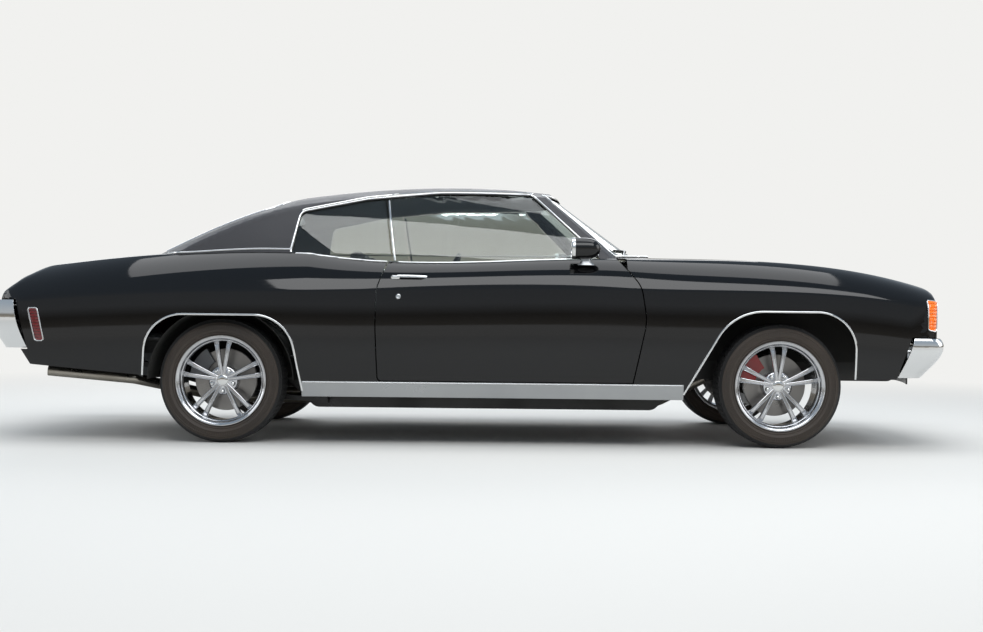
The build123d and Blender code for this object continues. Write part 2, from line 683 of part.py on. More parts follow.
with BuildPart() as tubs:
    for side in (1, -1):
        y0, y1 = sorted((side * TUB_HALF, side * 900))
        add(rod_y(REAR_AXLE, TYRE_R, y0, y1, TUB_R))
        add(rod_y(REAR_AXLE, TYRE_R, *sorted((side * (TUB_HALF + 4), side * 1000)), TUB_R - 4),
            mode=Mode.SUBTRACT)
    add(box_at(-3000, 3000, -1000, 1000, 0, SILL_TOP + SEAT), mode=Mode.SUBTRACT)
    add(box_at(REAR_AXLE - 55, REAR_AXLE + 55, -1000, 1000, 0, TYRE_R + 90), mode=Mode.SUBTRACT)
    add(body_form(SKIN + SEAT), mode=Mode.INTERSECT)
keep(tubs.part, "wheel_tubs")

with BuildPart() as tail_panel:
    add(SHELL)
    add(box_at(-2600, -2200, -TAIL_HALF, TAIL_HALF, 300, 1200), mode=Mode.INTERSECT)
    add(box_at(TAIL_X - SEAT, -2100, -1000, 1000, 300, 1200), mode=Mode.SUBTRACT)
    add(zone_block(DECK_ZONE, GAP, 700, 1500), mode=Mode.SUBTRACT)
keep(tail_panel.part, "tail_panel")

SHELF_X = -1725.0         # cross wall under the backlight's lower edge
DECK_BRACKET_LOW = 815.0
with BuildPart() as rear_shelf:
    add(lowered(SHELL, SEAT))
    add(box_at(DECK_FRONT + GAP + 4, -1650, -HALF_DECK - GAP + SEAT, HALF_DECK + GAP - SEAT, 700, 1200),
        mode=Mode.INTERSECT)
    with BuildPart(mode=Mode.PRIVATE) as cross_wall:
        add(body_form(HEM_SKIN))
        add(box_at(SHELF_X, SHELF_X + 8, -600, 600, DECK_BRACKET_LOW, 1200), mode=Mode.INTERSECT)
    add(cross_wall.part)
    for side in (1, -1):
        y0, y1 = sorted((side * (DECK_ARM_Y[1] + 3), side * (DECK_ARM_Y[1] + 13)))
        add(side_block([(DECK_AXIS[0] - 10, DECK_AXIS[1] + 9, 0), (DECK_AXIS[0] + 10, DECK_AXIS[1] + 9, 0),
                        (DECK_AXIS[0] + 10, DECK_BRACKET_LOW + 18, 0), (SHELF_X + 4, DECK_BRACKET_LOW + 18, 0),
                        (SHELF_X + 4, DECK_BRACKET_LOW, 0), (DECK_AXIS[0] - 10, DECK_BRACKET_LOW, 0)], y0, y1))
        pin_y = sorted((side * (DECK_ARM_Y[0] - 3), side * (DECK_ARM_Y[1] + 13)))
        add(rod_y(*DECK_AXIS, *pin_y, HINGE_PIN_R))
keep(rear_shelf.part, "deck_bridge")

# ---------------------------------------------------------------- nose
MOUTH_LOW = 588.0
MOUTH_TOP = 760.0
MOUTH_HALF = 782.0
MOUTH_R = 24.0


def mouth_outline(amount):
    """The nose's opening, seen from ahead, drawn in by amount."""
    with BuildSketch(mode=Mode.PRIVATE) as shape:
        with Locations((0, (MOUTH_LOW + MOUTH_TOP) / 2)):
            RectangleRounded(2 * (MOUTH_HALF - amount), MOUTH_TOP - MOUTH_LOW - 2 * amount, MOUTH_R)
    return shape.sketch


with BuildPart() as nose:
    add(SHELL)
    add(box_at(HOOD_FRONT + GAP, 2500, -1000, 1000, 560, 1200), mode=Mode.INTERSECT)
    with BuildSketch(Plane.YZ.offset(HOOD_FRONT)):
        add(mouth_outline(0))
    extrude(amount=100, mode=Mode.SUBTRACT)
    add(both_sides(grown(CORNER_LAMP, SEAT, -1200, -800 + SEAT)), mode=Mode.SUBTRACT)
keep(nose.part, "nose_panel")


# ---------------------------------------------------------------- bumpers
def bumper_face(tip, corner, half, end, wall, bend):
    """Plan of a bumper blade: bowed front, round corners and short arms along the sides."""
    back = wall if tip > 0 else -wall
    with BuildSketch(mode=Mode.PRIVATE) as face:
        with BuildLine():
            ThreePointArc((corner, -half), (tip, 0), (corner, half))
            Line((corner, half), (end, half))
            Line((end, half), (end, half - wall))
            Line((end, half - wall), (corner - back, half - wall))
            ThreePointArc((corner - back, half - wall), (tip - back, 0), (corner - back, wall - half))
            Line((corner - back, wall - half), (end, wall - half))
            Line((end, wall - half), (end, -half))
            Line((end, -half), (corner, -half))
        make_face()
        for side in (1, -1):
            fillet(face.vertices().sort_by_distance((corner, side * half))[0], bend)
            inner = (corner - back, side * (half - wall))
            fillet(face.vertices().sort_by_distance(inner)[0], bend - wall)
    return face.sketch


# Blades, one level a row: z, x at the tip, x at the corner, half width, x at the arm's end
FRONT_BLADE = [
    (366, 2406, 2260, 900, 2148),
    (450, 2478, 2332, 934, 2182),
    (545, 2508, 2362, 948, 2214),
    (567, 2494, 2350, 940, 2220),
]
REAR_BLADE = [
    (474, -2424, -2392, 906, -2268),
    (545, -2468, -2434, 928, -2296),
    (628, -2508, -2474, 938, -2320),
    (716, -2486, -2452, 926, -2334),
]
BLADE_WALL = 12.0


def blade(rows, bend):
    """Bumper blade lofted through its levels."""
    with BuildPart() as piece:
        for z, tip, corner, half, end in rows:
            with BuildSketch(Plane.XY.offset(z)):
                add(bumper_face(tip, corner, half, end, BLADE_WALL, bend))
        loft()
    return piece.part


TAIL_LAMP_Y = (560.0, 730.0)
TAIL_LAMP_R = 66.0
TAIL_LAMP_Z = 622.0
PLATE_HOLE_R = 3.5
PLATE_SPACING = 178.0     # between the two screws of a number plate
FRONT_PLATE_Z = 480.0
REAR_PLATE_Z = 600.0


def plate_holes(x, z):
    """The two screw holes of a number plate, along the car."""
    holes = [Pos(x, y, z) * Rot(0, 90, 0) * Cylinder(PLATE_HOLE_R, 200, mode=Mode.PRIVATE)
             for y in (-PLATE_SPACING / 2, PLATE_SPACING / 2)]
    return holes[0] + holes[1]


BUMPER_ARM_Y = (400.0, 460.0)
FRONT_ARM_X = 2300.0
REAR_ARM_X = -2380.0
with BuildPart() as front_blade:
    add(blade(FRONT_BLADE, 70))
    add(both_sides(side_block([(FRONT_ARM_X, 400, 0), (2396, 400, 0), (2428, 438, 0), (FRONT_ARM_X, 424, 0)],
                              *BUMPER_ARM_Y)))
    add(plate_holes(2480, FRONT_PLATE_Z), mode=Mode.SUBTRACT)
front_bumper = front_blade.part
with BuildPart() as rear_blade:
    add(blade(REAR_BLADE, 70))
    add(both_sides(side_block([(REAR_ARM_X - SEAT, 480, 0), (-2414, 480, 0), (-2432, 506, 0),
                               (REAR_ARM_X - SEAT, 506, 0)], *BUMPER_ARM_Y)))
    add(plate_holes(-2490, REAR_PLATE_Z), mode=Mode.SUBTRACT)
    for side in (1, -1):
        for y in TAIL_LAMP_Y:
            add(Pos(-2480, side * y, TAIL_LAMP_Z) * Rot(0, 90, 0) * Cylinder(TAIL_LAMP_R, 160, mode=Mode.PRIVATE),
                mode=Mode.SUBTRACT)
rear_bumper = rear_blade.part
keep(front_bumper, "front_bumper")
keep(rear_bumper, "rear_bumper")


# ---------------------------------------------------------------- grille and lamps
GRILLE_BARS = 7
GRILLE_POSTS = 11
GRILLE_HALF = 586.0       # half width of the barred window between the lamps
GRILLE_EDGE = 8.0
GRILLE_FACES = (6.0, 34.0)      # surround: front and back, behind the nose's own face
BAR_FACES = (16.0, 34.0)
BAR_THICK = 5.0
LAMP_Y = 688.0
LAMP_Z = (MOUTH_LOW + MOUTH_TOP) / 2
LAMP_R = 80.0
LAMP_X = 2330.0


def nose_band(faces):
    """Upright band that follows the nose in plan, between two depths behind its face."""
    with BuildPart() as band:
        add(zone_block(PLAN, -faces[0], 500, 900))
        add(zone_block(PLAN, -faces[1], 500, 900), mode=Mode.SUBTRACT)
        add(box_at(2200, 2500, -1000, 1000, 500, 900), mode=Mode.INTERSECT)
    return band.part


with BuildPart() as grille:
    add(nose_band(GRILLE_FACES))
    window_tall = MOUTH_TOP - MOUTH_LOW - 2 * GRILLE_EDGE
    with BuildSketch(Plane.YZ.offset(2200)):
        add(mouth_outline(SEAT))
        with Locations((0, LAMP_Z)):
            RectangleRounded(2 * GRILLE_HALF, window_tall, 16, mode=Mode.SUBTRACT)
        with Locations((-LAMP_Y, LAMP_Z), (LAMP_Y, LAMP_Z)):
            Circle(LAMP_R + SEAT, mode=Mode.SUBTRACT)
    extrude(amount=300, mode=Mode.INTERSECT)
    with BuildPart(mode=Mode.PRIVATE) as bars:
        add(nose_band(BAR_FACES))
        with BuildSketch(Plane.YZ.offset(2200)):
            with Locations((0, LAMP_Z)):
                with GridLocations(0, window_tall / (GRILLE_BARS + 1), 1, GRILLE_BARS):
                    Rectangle(2 * GRILLE_HALF + 6, BAR_THICK)
                with GridLocations(2 * GRILLE_HALF / (GRILLE_POSTS + 1), 0, GRILLE_POSTS, 1):
                    Rectangle(BAR_THICK, window_tall + 6)
        extrude(amount=300, mode=Mode.INTERSECT)
    add(bars.part)
keep(grille.part, "grille")

with BuildPart() as headlamp_left:
    with BuildSketch(Plane.XZ) as lamp_profile:
        with BuildLine():
            Line((LAMP_X - 110, 0), (LAMP_X + 14, 0))
            ThreePointArc((LAMP_X + 14, 0), (LAMP_X + 9, LAMP_R * 0.55), (LAMP_X - 8, LAMP_R - 8))
            Polyline((LAMP_X - 8, LAMP_R - 8), (LAMP_X + 10, LAMP_R), (LAMP_X - 34, LAMP_R),
                     (LAMP_X - 110, 30), (LAMP_X - 110, 0))
        make_face()
    revolve(axis=Axis.X)
headlamps = both_sides(Pos(0, LAMP_Y, LAMP_Z) * headlamp_left.part)
keep(headlamps, "headlamps")

GROOVE = 4.0
GROOVE_DEEP = 5.0


def grooved(lens, low, high, count):
    """A lens on the right side with level grooves cut into its outer face."""
    pitch = (high - low) / (count + 1)
    with BuildPart() as cuts:
        for row in range(1, count + 1):
            z = low + row * pitch
            add(box_at(-2500, 2500, -1200, -700, z - GROOVE / 2, z + GROOVE / 2))
        add(Pos(0, GROOVE_DEEP, 0) * OUTER, mode=Mode.SUBTRACT)
    with BuildPart() as piece:
        add(lens)
        add(cuts.part, mode=Mode.SUBTRACT)
    return piece.part


with BuildPart() as corner_lamp:
    add(OUTER)
    add(body_form(LENS), mode=Mode.SUBTRACT)
    add(side_block(CORNER_LAMP, -1200, -800), mode=Mode.INTERSECT)
    add(fender_right.part, mode=Mode.SUBTRACT)
keep(both_sides(grooved(corner_lamp.part, 604, 762, 8)), "corner_lamps")

LOUVRES = 10
with BuildPart() as side_marker:
    add(OUTER)
    add(body_form(LENS), mode=Mode.SUBTRACT)
    add(side_block(SIDE_MARKER, -1200, -780), mode=Mode.INTERSECT)
keep(both_sides(grooved(side_marker.part, 512, 676, LOUVRES)), "side_markers")

# Half section of a round tail lamp: x, distance from its middle
TAIL_LAMP = [(-2464, 0), (-2464, TAIL_LAMP_R - SEAT), (-2499, TAIL_LAMP_R - SEAT), (-2499, TAIL_LAMP_R - 9),
             (-2493, TAIL_LAMP_R - 11), (-2496, 0)]
with BuildPart() as tail_lamp:
    for y in TAIL_LAMP_Y:
        with BuildSketch(Plane.XZ) as lamp_half:
            add(outline([(x, r, 0) for x, r in TAIL_LAMP]))
        with BuildPart(mode=Mode.PRIVATE) as lens:
            add(lamp_half.sketch)
            revolve(axis=Axis.X)
        add(Pos(0, y, TAIL_LAMP_Z) * lens.part)
keep(both_sides(tail_lamp.part), "tail_lamps")

with BuildPart() as valance:
    with BuildSketch(Plane.XY.offset(330)):
        with BuildLine():
            ThreePointArc((2230, -790), (2330, 0), (2230, 790))
            Polyline((2230, 790), (2222, 790))
            ThreePointArc((2222, 790), (2322, 0), (2222, -790))
            Polyline((2222, -790), (2230, -790))
        make_face()
    extrude(amount=190)
    add(both_sides(box_at(2200, 2400, BUMPER_ARM_Y[0] - SEAT, BUMPER_ARM_Y[1] + SEAT, 380 - SEAT, 438)),
        mode=Mode.SUBTRACT)
keep(valance.part, "front_valance")

# ---------------------------------------------------------------- frame and drive line
RAIL_Y = 430.0
RAIL_HALF = 38.0
RAIL_REAR_LOW = 440.0
REAR_SKIRT = [(-2250, 392, 0), (-2283, 444, 0), (-2273, 444, 0), (-2240, 392, 0)]
with BuildPart() as rear_skirt:
    add(body_form(SKIN + SEAT))
    add(side_block(REAR_SKIRT, -1000, 1000), mode=Mode.INTERSECT)
    add(both_sides(box_at(-2400, -2200, RAIL_Y - RAIL_HALF - SEAT, RAIL_Y + RAIL_HALF + SEAT,
                          RAIL_REAR_LOW - SEAT, 540)), mode=Mode.SUBTRACT)
keep(rear_skirt.part, "rear_valance")

RAIL = [
    (2270, 430, 0), (2270, 330, 0), (1990, 330, 60), (1130, 330, 60), (960, 160, 60), (-860, 160, 60),
    (-1080, 375, 60), (-1400, RAIL_REAR_LOW, 60), (REAR_ARM_X, RAIL_REAR_LOW, 0), (REAR_ARM_X, 510, 0),
    (-1240, 510, 40),
    (-1135, 428, 30), (-1010, 428, 30), (-790, 244, 40), (1000, 244, 60), (1180, 430, 60),
]
ARM_Z = (196.0, 470.0)
ARM_THICK = 22.0
CROSS_TOP = 372.0         # top of the front cross member, under the engine
GEARBOX_BEAM_TOP = 244.0
EXHAUST_Y = 300.0
EXHAUST_Z = 200.0
EXHAUST_R = 28.0
SPRING_Y = (500.0, 560.0)
SPRING_FRONT = (-800.0, 205.0)   # eyes of the leaf springs: x, z
SPRING_REAR = (-1800.0, 400.0)
SPRING_EYE_R = 20.0
SPRING_LOW = 259.0               # middle of the leaf pack under the axle
SPRING_THICK = 26.0

with BuildPart() as frame:
    for side in (1, -1):
        add(side_block(RAIL, *sorted((side * (RAIL_Y - RAIL_HALF), side * (RAIL_Y + RAIL_HALF)))))
    for x in (2150, -2300):
        low = 335 if x > 0 else 445
        add(box_at(x - 40, x + 40, -RAIL_Y, RAIL_Y, low, low + 60))
    add(box_at(200, 290, -RAIL_Y, RAIL_Y, EXHAUST_Z + EXHAUST_R + SEAT, GEARBOX_BEAM_TOP))
    add(box_at(FRONT_AXLE - 70, FRONT_AXLE + 70, -RAIL_Y, RAIL_Y, 332, CROSS_TOP))
    add(box_at(FRONT_AXLE - 60, FRONT_AXLE + 60, -RAIL_Y, RAIL_Y, 190, 240))
    for side in (1, -1):
        post = sorted((side * (RAIL_Y - RAIL_HALF), side * RAIL_Y))
        add(box_at(FRONT_AXLE - 60, FRONT_AXLE + 60, *post, 190, 520))
        for z in ARM_Z:
            with BuildPart(mode=Mode.PRIVATE) as arm:
                with BuildSketch(Plane.XY.offset(z)):
                    with BuildLine():
                        Polyline((FRONT_AXLE - 55, side * RAIL_Y), (FRONT_AXLE + 55, side * RAIL_Y),
                                 (FRONT_AXLE + 20, side * KINGPIN_Y), (FRONT_AXLE - 20, side * KINGPIN_Y),
                                 close=True)
                    make_face()
                    with Locations((FRONT_AXLE, side * KINGPIN_Y)):
                        Circle(16)
                        Circle(9 + FIT, mode=Mode.SUBTRACT)
                extrude(amount=ARM_THICK)
            add(arm.part)
        add(box_at(2262, FRONT_ARM_X - SEAT, *sorted((side * BUMPER_ARM_Y[0], side * BUMPER_ARM_Y[1])), 380, 424))
        hanger = sorted((side * (RAIL_Y + RAIL_HALF - 2), side * (SPRING_Y[0] - SEAT)))
        add(box_at(SPRING_FRONT[0] - 16, SPRING_FRONT[0] + 16, *hanger, 180, 224))
        add(box_at(SPRING_REAR[0] - 16, SPRING_REAR[0] + 16, *hanger, 376, 470))
keep(frame.part, "frame")

with BuildPart() as engine:
    add(box_at(1130, 1830, -270, 270, 380, 820))
    add(box_at(300, 900, -110, 110, 262, 440))
    add(box_at(898, 1150, -150, 150, 262, 640))
    for y in (-210, 210):
        add(box_at(FRONT_AXLE - 30, FRONT_AXLE + 30, y - 30, y + 30, CROSS_TOP + SEAT, 384))
    add(box_at(225, 265, -60, 60, GEARBOX_BEAM_TOP + SEAT, 266))
keep(engine.part, "engine")

with BuildPart() as radiator:
    add(box_at(2120, 2180, -380, 380, 395 + SEAT, 760))
keep(radiator.part, "radiator")

CALIPER_R = (105.0, 186.0)
CALIPER_Y = (690.0, 757.0)
CALIPER_TURN = 146.0      # degrees from straight ahead, upwards
CALIPER_SPAN = 48.0
DISC_Y = HALF_TRACK - 52  # middle of the brake disc
DISC_ROOM = 5.0


def caliper(x):
    """Brake caliper and bracket round the disc of the left wheel at x."""
    far = 2 * CALIPER_R[1]
    edges = [radians(CALIPER_TURN + side * CALIPER_SPAN / 2) for side in (-1, 1)]
    wedge = [(0, 0, 0)] + [(far * cos(edge), far * sin(edge), 0) for edge in edges]
    with BuildPart() as piece:
        with BuildSketch(Plane.XZ.offset(-CALIPER_Y[0])):
            Circle(CALIPER_R[1])
            Circle(CALIPER_R[0], mode=Mode.SUBTRACT)
            add(outline(wedge), mode=Mode.INTERSECT)
        extrude(amount=CALIPER_Y[0] - CALIPER_Y[1])
        slot = rod_y(0, 0, DISC_Y - DISC_THICK / 2 - DISC_ROOM, DISC_Y + DISC_THICK / 2 + DISC_ROOM,
                     DISC_R + DISC_ROOM)
        add(slot, mode=Mode.SUBTRACT)
        with BuildSketch(Plane.XZ.offset(-CALIPER_Y[0])):
            add(Rot(0, 0, CALIPER_TURN) * outline([(0, -26, 0), (0, 26, 0), (CALIPER_R[0] + 20, 30, 0),
                                                  (CALIPER_R[0] + 20, -30, 0)]))
        extrude(amount=-13)
    return Pos(x, 0, TYRE_R) * piece.part


AXLE_TUBE_R = 40.0
with BuildPart() as spring:
    thick = SPRING_THICK / 2
    with BuildSketch(Plane.XZ.offset(-SPRING_Y[0])):
        with BuildLine():
            ThreePointArc((SPRING_FRONT[0], SPRING_FRONT[1] + thick), (REAR_AXLE, SPRING_LOW + thick),
                          (SPRING_REAR[0], SPRING_REAR[1] + thick))
            Line((SPRING_REAR[0], SPRING_REAR[1] + thick), (SPRING_REAR[0], SPRING_REAR[1] - thick))
            ThreePointArc((SPRING_REAR[0], SPRING_REAR[1] - thick), (REAR_AXLE, SPRING_LOW - thick),
                          (SPRING_FRONT[0], SPRING_FRONT[1] - thick))
            Line((SPRING_FRONT[0], SPRING_FRONT[1] - thick), (SPRING_FRONT[0], SPRING_FRONT[1] + thick))
        make_face()
    extrude(amount=SPRING_Y[0] - SPRING_Y[1])
    for eye in (SPRING_FRONT, SPRING_REAR):
        add(rod_y(*eye, *SPRING_Y, SPRING_EYE_R))
    add(box_at(REAR_AXLE - 45, REAR_AXLE + 45, *SPRING_Y, SPRING_LOW, TYRE_R))
with BuildPart() as rear_axle:
    add(rod_y(REAR_AXLE, TYRE_R, -HALF_TRACK + 72, HALF_TRACK - 72, AXLE_TUBE_R))
    add(rod_y(REAR_AXLE, TYRE_R, -HALF_TRACK - 20, HALF_TRACK + 20, SPINDLE_R))
    add(Pos(REAR_AXLE, 0, TYRE_R) * Sphere(125, mode=Mode.PRIVATE))
    add(Pos((REAR_AXLE + 290) / 2, 0, TYRE_R) * Rot(0, 90, 0) * Cylinder(36, 290 - REAR_AXLE, mode=Mode.PRIVATE))
    add(both_sides(spring.part))
    add(both_sides(caliper(REAR_AXLE)))
keep(rear_axle.part, "rear_axle")

exhaust_left = tube_along([(1250, 330, 330), (1000, EXHAUST_Y, EXHAUST_Z), (-1400, EXHAUST_Y, EXHAUST_Z),
                           (-1640, 540, 272),
                           (-1790, 648, 312), (-2224, 700, 352)], EXHAUST_R, EXHAUST_R - 3)
keep(both_sides(exhaust_left), "exhausts")

with BuildPart() as tank:
    add(box_at(-2240, -1720, -270, 270, 300, BOOT_FLOOR_Z - SEAT))
keep(tank.part, "fuel_tank")

# ---------------------------------------------------------------- cabin
with BuildPart() as dashboard:
    add(side_block([(520, 940, 30), (700, 945, 20), (TRAY_REAR - SEAT, 890, 0),
                    (TRAY_REAR - SEAT, 800, 0), (560, 760, 30)], -725, 725))
keep(dashboard.part, "dashboard")


def tilted(x, y, z):
    """Frame on the steering column: its z points up the column at the driver."""
    return Location(Plane((x, y, z), x_dir=(0, 1, 0),
                          z_dir=(-cos(radians(COLUMN_TILT)), 0, sin(radians(COLUMN_TILT)))))


WHEEL_RING_R = 185.0
COLUMN_R = 28.0
COLUMN_TOP = 40.0         # the column's housing starts this far below the wheel
COLUMN_LONG = (FIREWALL_X - WHEEL_TOP[0]) / cos(radians(COLUMN_TILT))
with BuildPart() as column:
    add(tilted(WHEEL_TOP[0], DRIVER_Y, WHEEL_TOP[1]) * Pos(0, 0, -COLUMN_LONG / 2 - COLUMN_TOP)
        * Cylinder(COLUMN_R, COLUMN_LONG, mode=Mode.PRIVATE))
    add(tilted(WHEEL_TOP[0], DRIVER_Y, WHEEL_TOP[1]) * Pos(0, 0, -30) * Cylinder(9, 60, mode=Mode.PRIVATE))
    add(box_at(-1000, FIREWALL_X - SEAT, -1000, 1000, 0, 1500), mode=Mode.INTERSECT)
keep(column.part, "steering_column")

with BuildPart() as steering_wheel:
    with BuildPart(mode=Mode.PRIVATE) as ring:
        Torus(WHEEL_RING_R, 15)
        Cylinder(45, 34)
        with PolarLocations(0, 3, 90):
            with Locations((WHEEL_RING_R / 2, 0, 0)):
                Box(WHEEL_RING_R - 10, 30, 8)
        Cylinder(9 + FIT, 100, mode=Mode.SUBTRACT)
    add(tilted(WHEEL_TOP[0], DRIVER_Y, WHEEL_TOP[1]) * ring.part)
keep(steering_wheel.part, "steering_wheel")

SEAT_Y = 400.0
SEAT_HALF = 225.0
with BuildPart() as seat_left:
    add(side_block([(-380, 300, 40), (160, 330, 50), (190, 500, 60), (-330, 440, 60), (-450, 470, 0),
                    (-600, 1040, 50), (-700, 1010, 50), (-500, 300, 60)],
                   SEAT_Y - SEAT_HALF, SEAT_Y + SEAT_HALF))
    add(box_at(-400, 120, SEAT_Y - 200, SEAT_Y + 200, FLOOR_Z + FLOOR_PLATE + SEAT, 340))
keep(both_sides(seat_left.part), "front_seats")
with BuildPart() as rear_seat:
    low = SEAT_PAN_Z + FLOOR_PLATE + SEAT
    add(side_block([(HEEL_X + 60, low + 8, 10), (HEEL_X + 70, 590, 50), (-985, 545, 40), (-1060, 900, 24),
                    (BULKHEAD_X + 2, 900, 10), (BULKHEAD_X + 2, low, 0), (HEEL_X, low, 0)], -560, 560))
    add(box_at(-1200, -500, -TUNNEL_HALF - 3, TUNNEL_HALF + 3, 0, TUNNEL_TOP + 1), mode=Mode.SUBTRACT)
keep(rear_seat.part, "rear_seat")

# ---------------------------------------------------------------- wheels
# One spoke of a pair, drawn along u from the hub to the barrel, and the dish it lies in: radius, z
SPOKE = [(58, -10, 0), (58, 10, 0), (206, 12, 0), (206, -12, 0)]
SPOKE_LEAN = 9.5
SPOKE_DISH = [(0, 60, 0), (70, 60, 0), (150, SPOKE_FACE + 6, 0), (214, 52, 0), (214, 26, 0), (150, 40, 0),
              (70, 30, 0), (0, 30, 0)]
BARREL = [
    (RIM_SEAT_R - SEAT, -RIM_WIDTH / 2, 0),
    (RIM_FLANGE_R, -RIM_WIDTH / 2, 0),
    (RIM_FLANGE_R, -RIM_WIDTH / 2 - RIM_WALL, 0),
    (RIM_SEAT_R - RIM_WALL, -RIM_WIDTH / 2 - RIM_WALL, 0),
    (RIM_SEAT_R - RIM_WALL, 12, 0),
    (RIM_SEAT_R - 2 * RIM_WALL, 24, 0),
    (RIM_SEAT_R - 2 * RIM_WALL, 76, 0),
    (RIM_SEAT_R - RIM_WALL, 84, 0),
    (RIM_SEAT_R - RIM_WALL, RIM_WIDTH / 2 + RIM_WALL, 0),
    (RIM_FLANGE_R, RIM_WIDTH / 2 + RIM_WALL, 0),
    (RIM_FLANGE_R, RIM_WIDTH / 2, 0),
    (RIM_SEAT_R - SEAT, RIM_WIDTH / 2, 0),
]
CAP_R = 27.0
DISC_AT = -52.0           # middle of the brake disc from the middle of the rim
HUB_BACK = -18.0 + SEAT
BORE_TOP = 40.0           # the spindle's bore is closed by the centre cap above this


def turned(rows):
    """Solid of revolution about z, from corners given as (radius, z, bend)."""
    with BuildPart() as body:
        with BuildSketch(Plane.XZ):
            add(outline(rows))
        revolve(axis=Axis.Z)
    return body.part


def wheel_rim():
    """Split-spoke rim about the z axis, its outside up."""
    with BuildPart() as spokes:
        with BuildSketch(Plane.XY):
            Circle(HUB_R)
            for turn in range(SPOKE_PAIRS):
                for lean in (-SPOKE_LEAN, SPOKE_LEAN):
                    add(Rot(0, 0, 90 + turn * 360 / SPOKE_PAIRS + lean) * outline(SPOKE))
        extrude(amount=100)
        add(turned(SPOKE_DISH), mode=Mode.INTERSECT)
    with BuildPart() as rim:
        add(turned(BARREL))
        add(spokes.part)
        with BuildSketch(Plane.XY.offset(HUB_BACK)):
            Circle(HUB_R - RIM_WALL)
        extrude(amount=BORE_TOP - HUB_BACK)
        with BuildSketch(Plane.XY.offset(BORE_TOP)):
            Circle(CAP_R)
        extrude(amount=SPOKE_FACE + 4 - BORE_TOP)
        with Locations((0, 0, BORE_TOP - 100)):
            Cylinder(SPINDLE_R + FIT, 200, mode=Mode.SUBTRACT)
    return rim.part


rim = wheel_rim()
with BuildPart() as disc:
    with Locations((0, 0, DISC_AT)):
        Cylinder(DISC_R, DISC_THICK)
    with Locations((0, 0, DISC_AT)):
        Cylinder(HUB_R - 4, -18 - DISC_AT, align=(Align.CENTER, Align.CENTER, Align.MIN))
    Cylinder(SPINDLE_R + FIT, 400, mode=Mode.SUBTRACT)
with BuildPart() as tyre:
    with BuildSketch(Plane.XZ) as tread:
        with BuildLine():
            half = TYRE_WIDTH / 2
            bead = RIM_WIDTH / 2 - SEAT
            hold = RIM_FLANGE_R + 2
            Line((RIM_SEAT_R, -bead), (RIM_SEAT_R, bead))
            Line((RIM_SEAT_R, bead), (hold, bead))
            ThreePointArc((hold, bead), (RIM_SEAT_R + 46, half), (TYRE_R - 22, half - 10))
            ThreePointArc((TYRE_R - 22, half - 10), (TYRE_R - 5, half - 20), (TYRE_R, half - 34))
            Line((TYRE_R, half - 34), (TYRE_R, 34 - half))
            ThreePointArc((TYRE_R, 34 - half), (TYRE_R - 5, 20 - half), (TYRE_R - 22, 10 - half))
            ThreePointArc((TYRE_R - 22, 10 - half), (RIM_SEAT_R + 46, -half), (hold, -bead))
            Line((hold, -bead), (RIM_SEAT_R, -bead))
        make_face()
    revolve(axis=Axis.Z)

WHEEL_PLACES = [
    ("front_left", FRONT_AXLE, 1),
    ("front_right", FRONT_AXLE, -1),
    ("rear_left", REAR_AXLE, 1),
    ("rear_right", REAR_AXLE, -1),
]
for place, x, side in WHEEL_PLACES:
    seat = Pos(x, side * HALF_TRACK, TYRE_R) * Rot(-90 * side, 0, 0)
    with BuildPart() as placed_tyre:
        add(seat * tyre.part)
    with BuildPart() as placed_rim:
        add(seat * rim)
        add(seat * disc.part)
    keep(placed_tyre.part, f"tyre_{place}")
    keep(placed_rim.part, f"rim_{place}")

with BuildPart() as knuckle_left:
    inner_y = HALF_TRACK - 71
    add(box_at(FRONT_AXLE - 34, FRONT_AXLE + 34, KINGPIN_Y - 24, inner_y, ARM_Z[0] + ARM_THICK + SEAT,
               ARM_Z[1] - SEAT))
    add(rod_z(FRONT_AXLE, KINGPIN_Y, ARM_Z[0], ARM_Z[1] + ARM_THICK, 9))
    add(rod_y(FRONT_AXLE, TYRE_R, KINGPIN_Y, HALF_TRACK + 20, SPINDLE_R))
    add(caliper(FRONT_AXLE))
keep(knuckle_left.part, "knuckle_left")
keep(other_side(knuckle_left.part), "knuckle_right")

# ---------------------------------------------------------------- door furniture
HANDLE_X = (-431.0, -242.0)
HANDLE_Z = 850.0
MIRROR_X = 560.0
MIRROR_Y = 905.0
MIRROR_Z = 1006.0
MIRROR_R = 54.0
MIRROR_LONG = 150.0

with BuildPart() as handle_right:
    add(box_at(HANDLE_X[0], HANDLE_X[1], -944, -932, HANDLE_Z - 10, HANDLE_Z + 10))
    for x in (HANDLE_X[0] + 16, HANDLE_X[1] - 16):
        add(box_at(x - 12, x + 12, -940, -880, HANDLE_Z - 9, HANDLE_Z + 9))
    add(OUTER, mode=Mode.SUBTRACT)
keep(handle_right.part, "door_handle_right")
keep(other_side(handle_right.part), "door_handle_left")

with BuildPart() as mirror_right:
    with BuildPart(mode=Mode.PRIVATE) as bullet:
        with BuildSketch(Plane.XZ):
            with BuildLine():
                Line((0, 0), (MIRROR_LONG, 0))
                ThreePointArc((MIRROR_LONG, 0), (MIRROR_LONG * 0.66, MIRROR_R * 0.72), (0, MIRROR_R))
                Line((0, MIRROR_R), (0, 0))
            make_face()
        revolve(axis=Axis.X)
    add(Pos(MIRROR_X - MIRROR_LONG / 2, -MIRROR_Y, MIRROR_Z) * bullet.part)
    with BuildPart(mode=Mode.PRIVATE) as foot:
        with BuildLine() as stem:
            Line((MIRROR_X, -860, 920), (MIRROR_X, -MIRROR_Y, MIRROR_Z))
        with BuildSketch(Plane(stem.line @ 0, z_dir=stem.line % 0)):
            Ellipse(14, 24)
        sweep()
    add(foot.part)
    add(OUTER, mode=Mode.SUBTRACT)
keep(mirror_right.part, "mirror_right")
keep(other_side(mirror_right.part), "mirror_left")
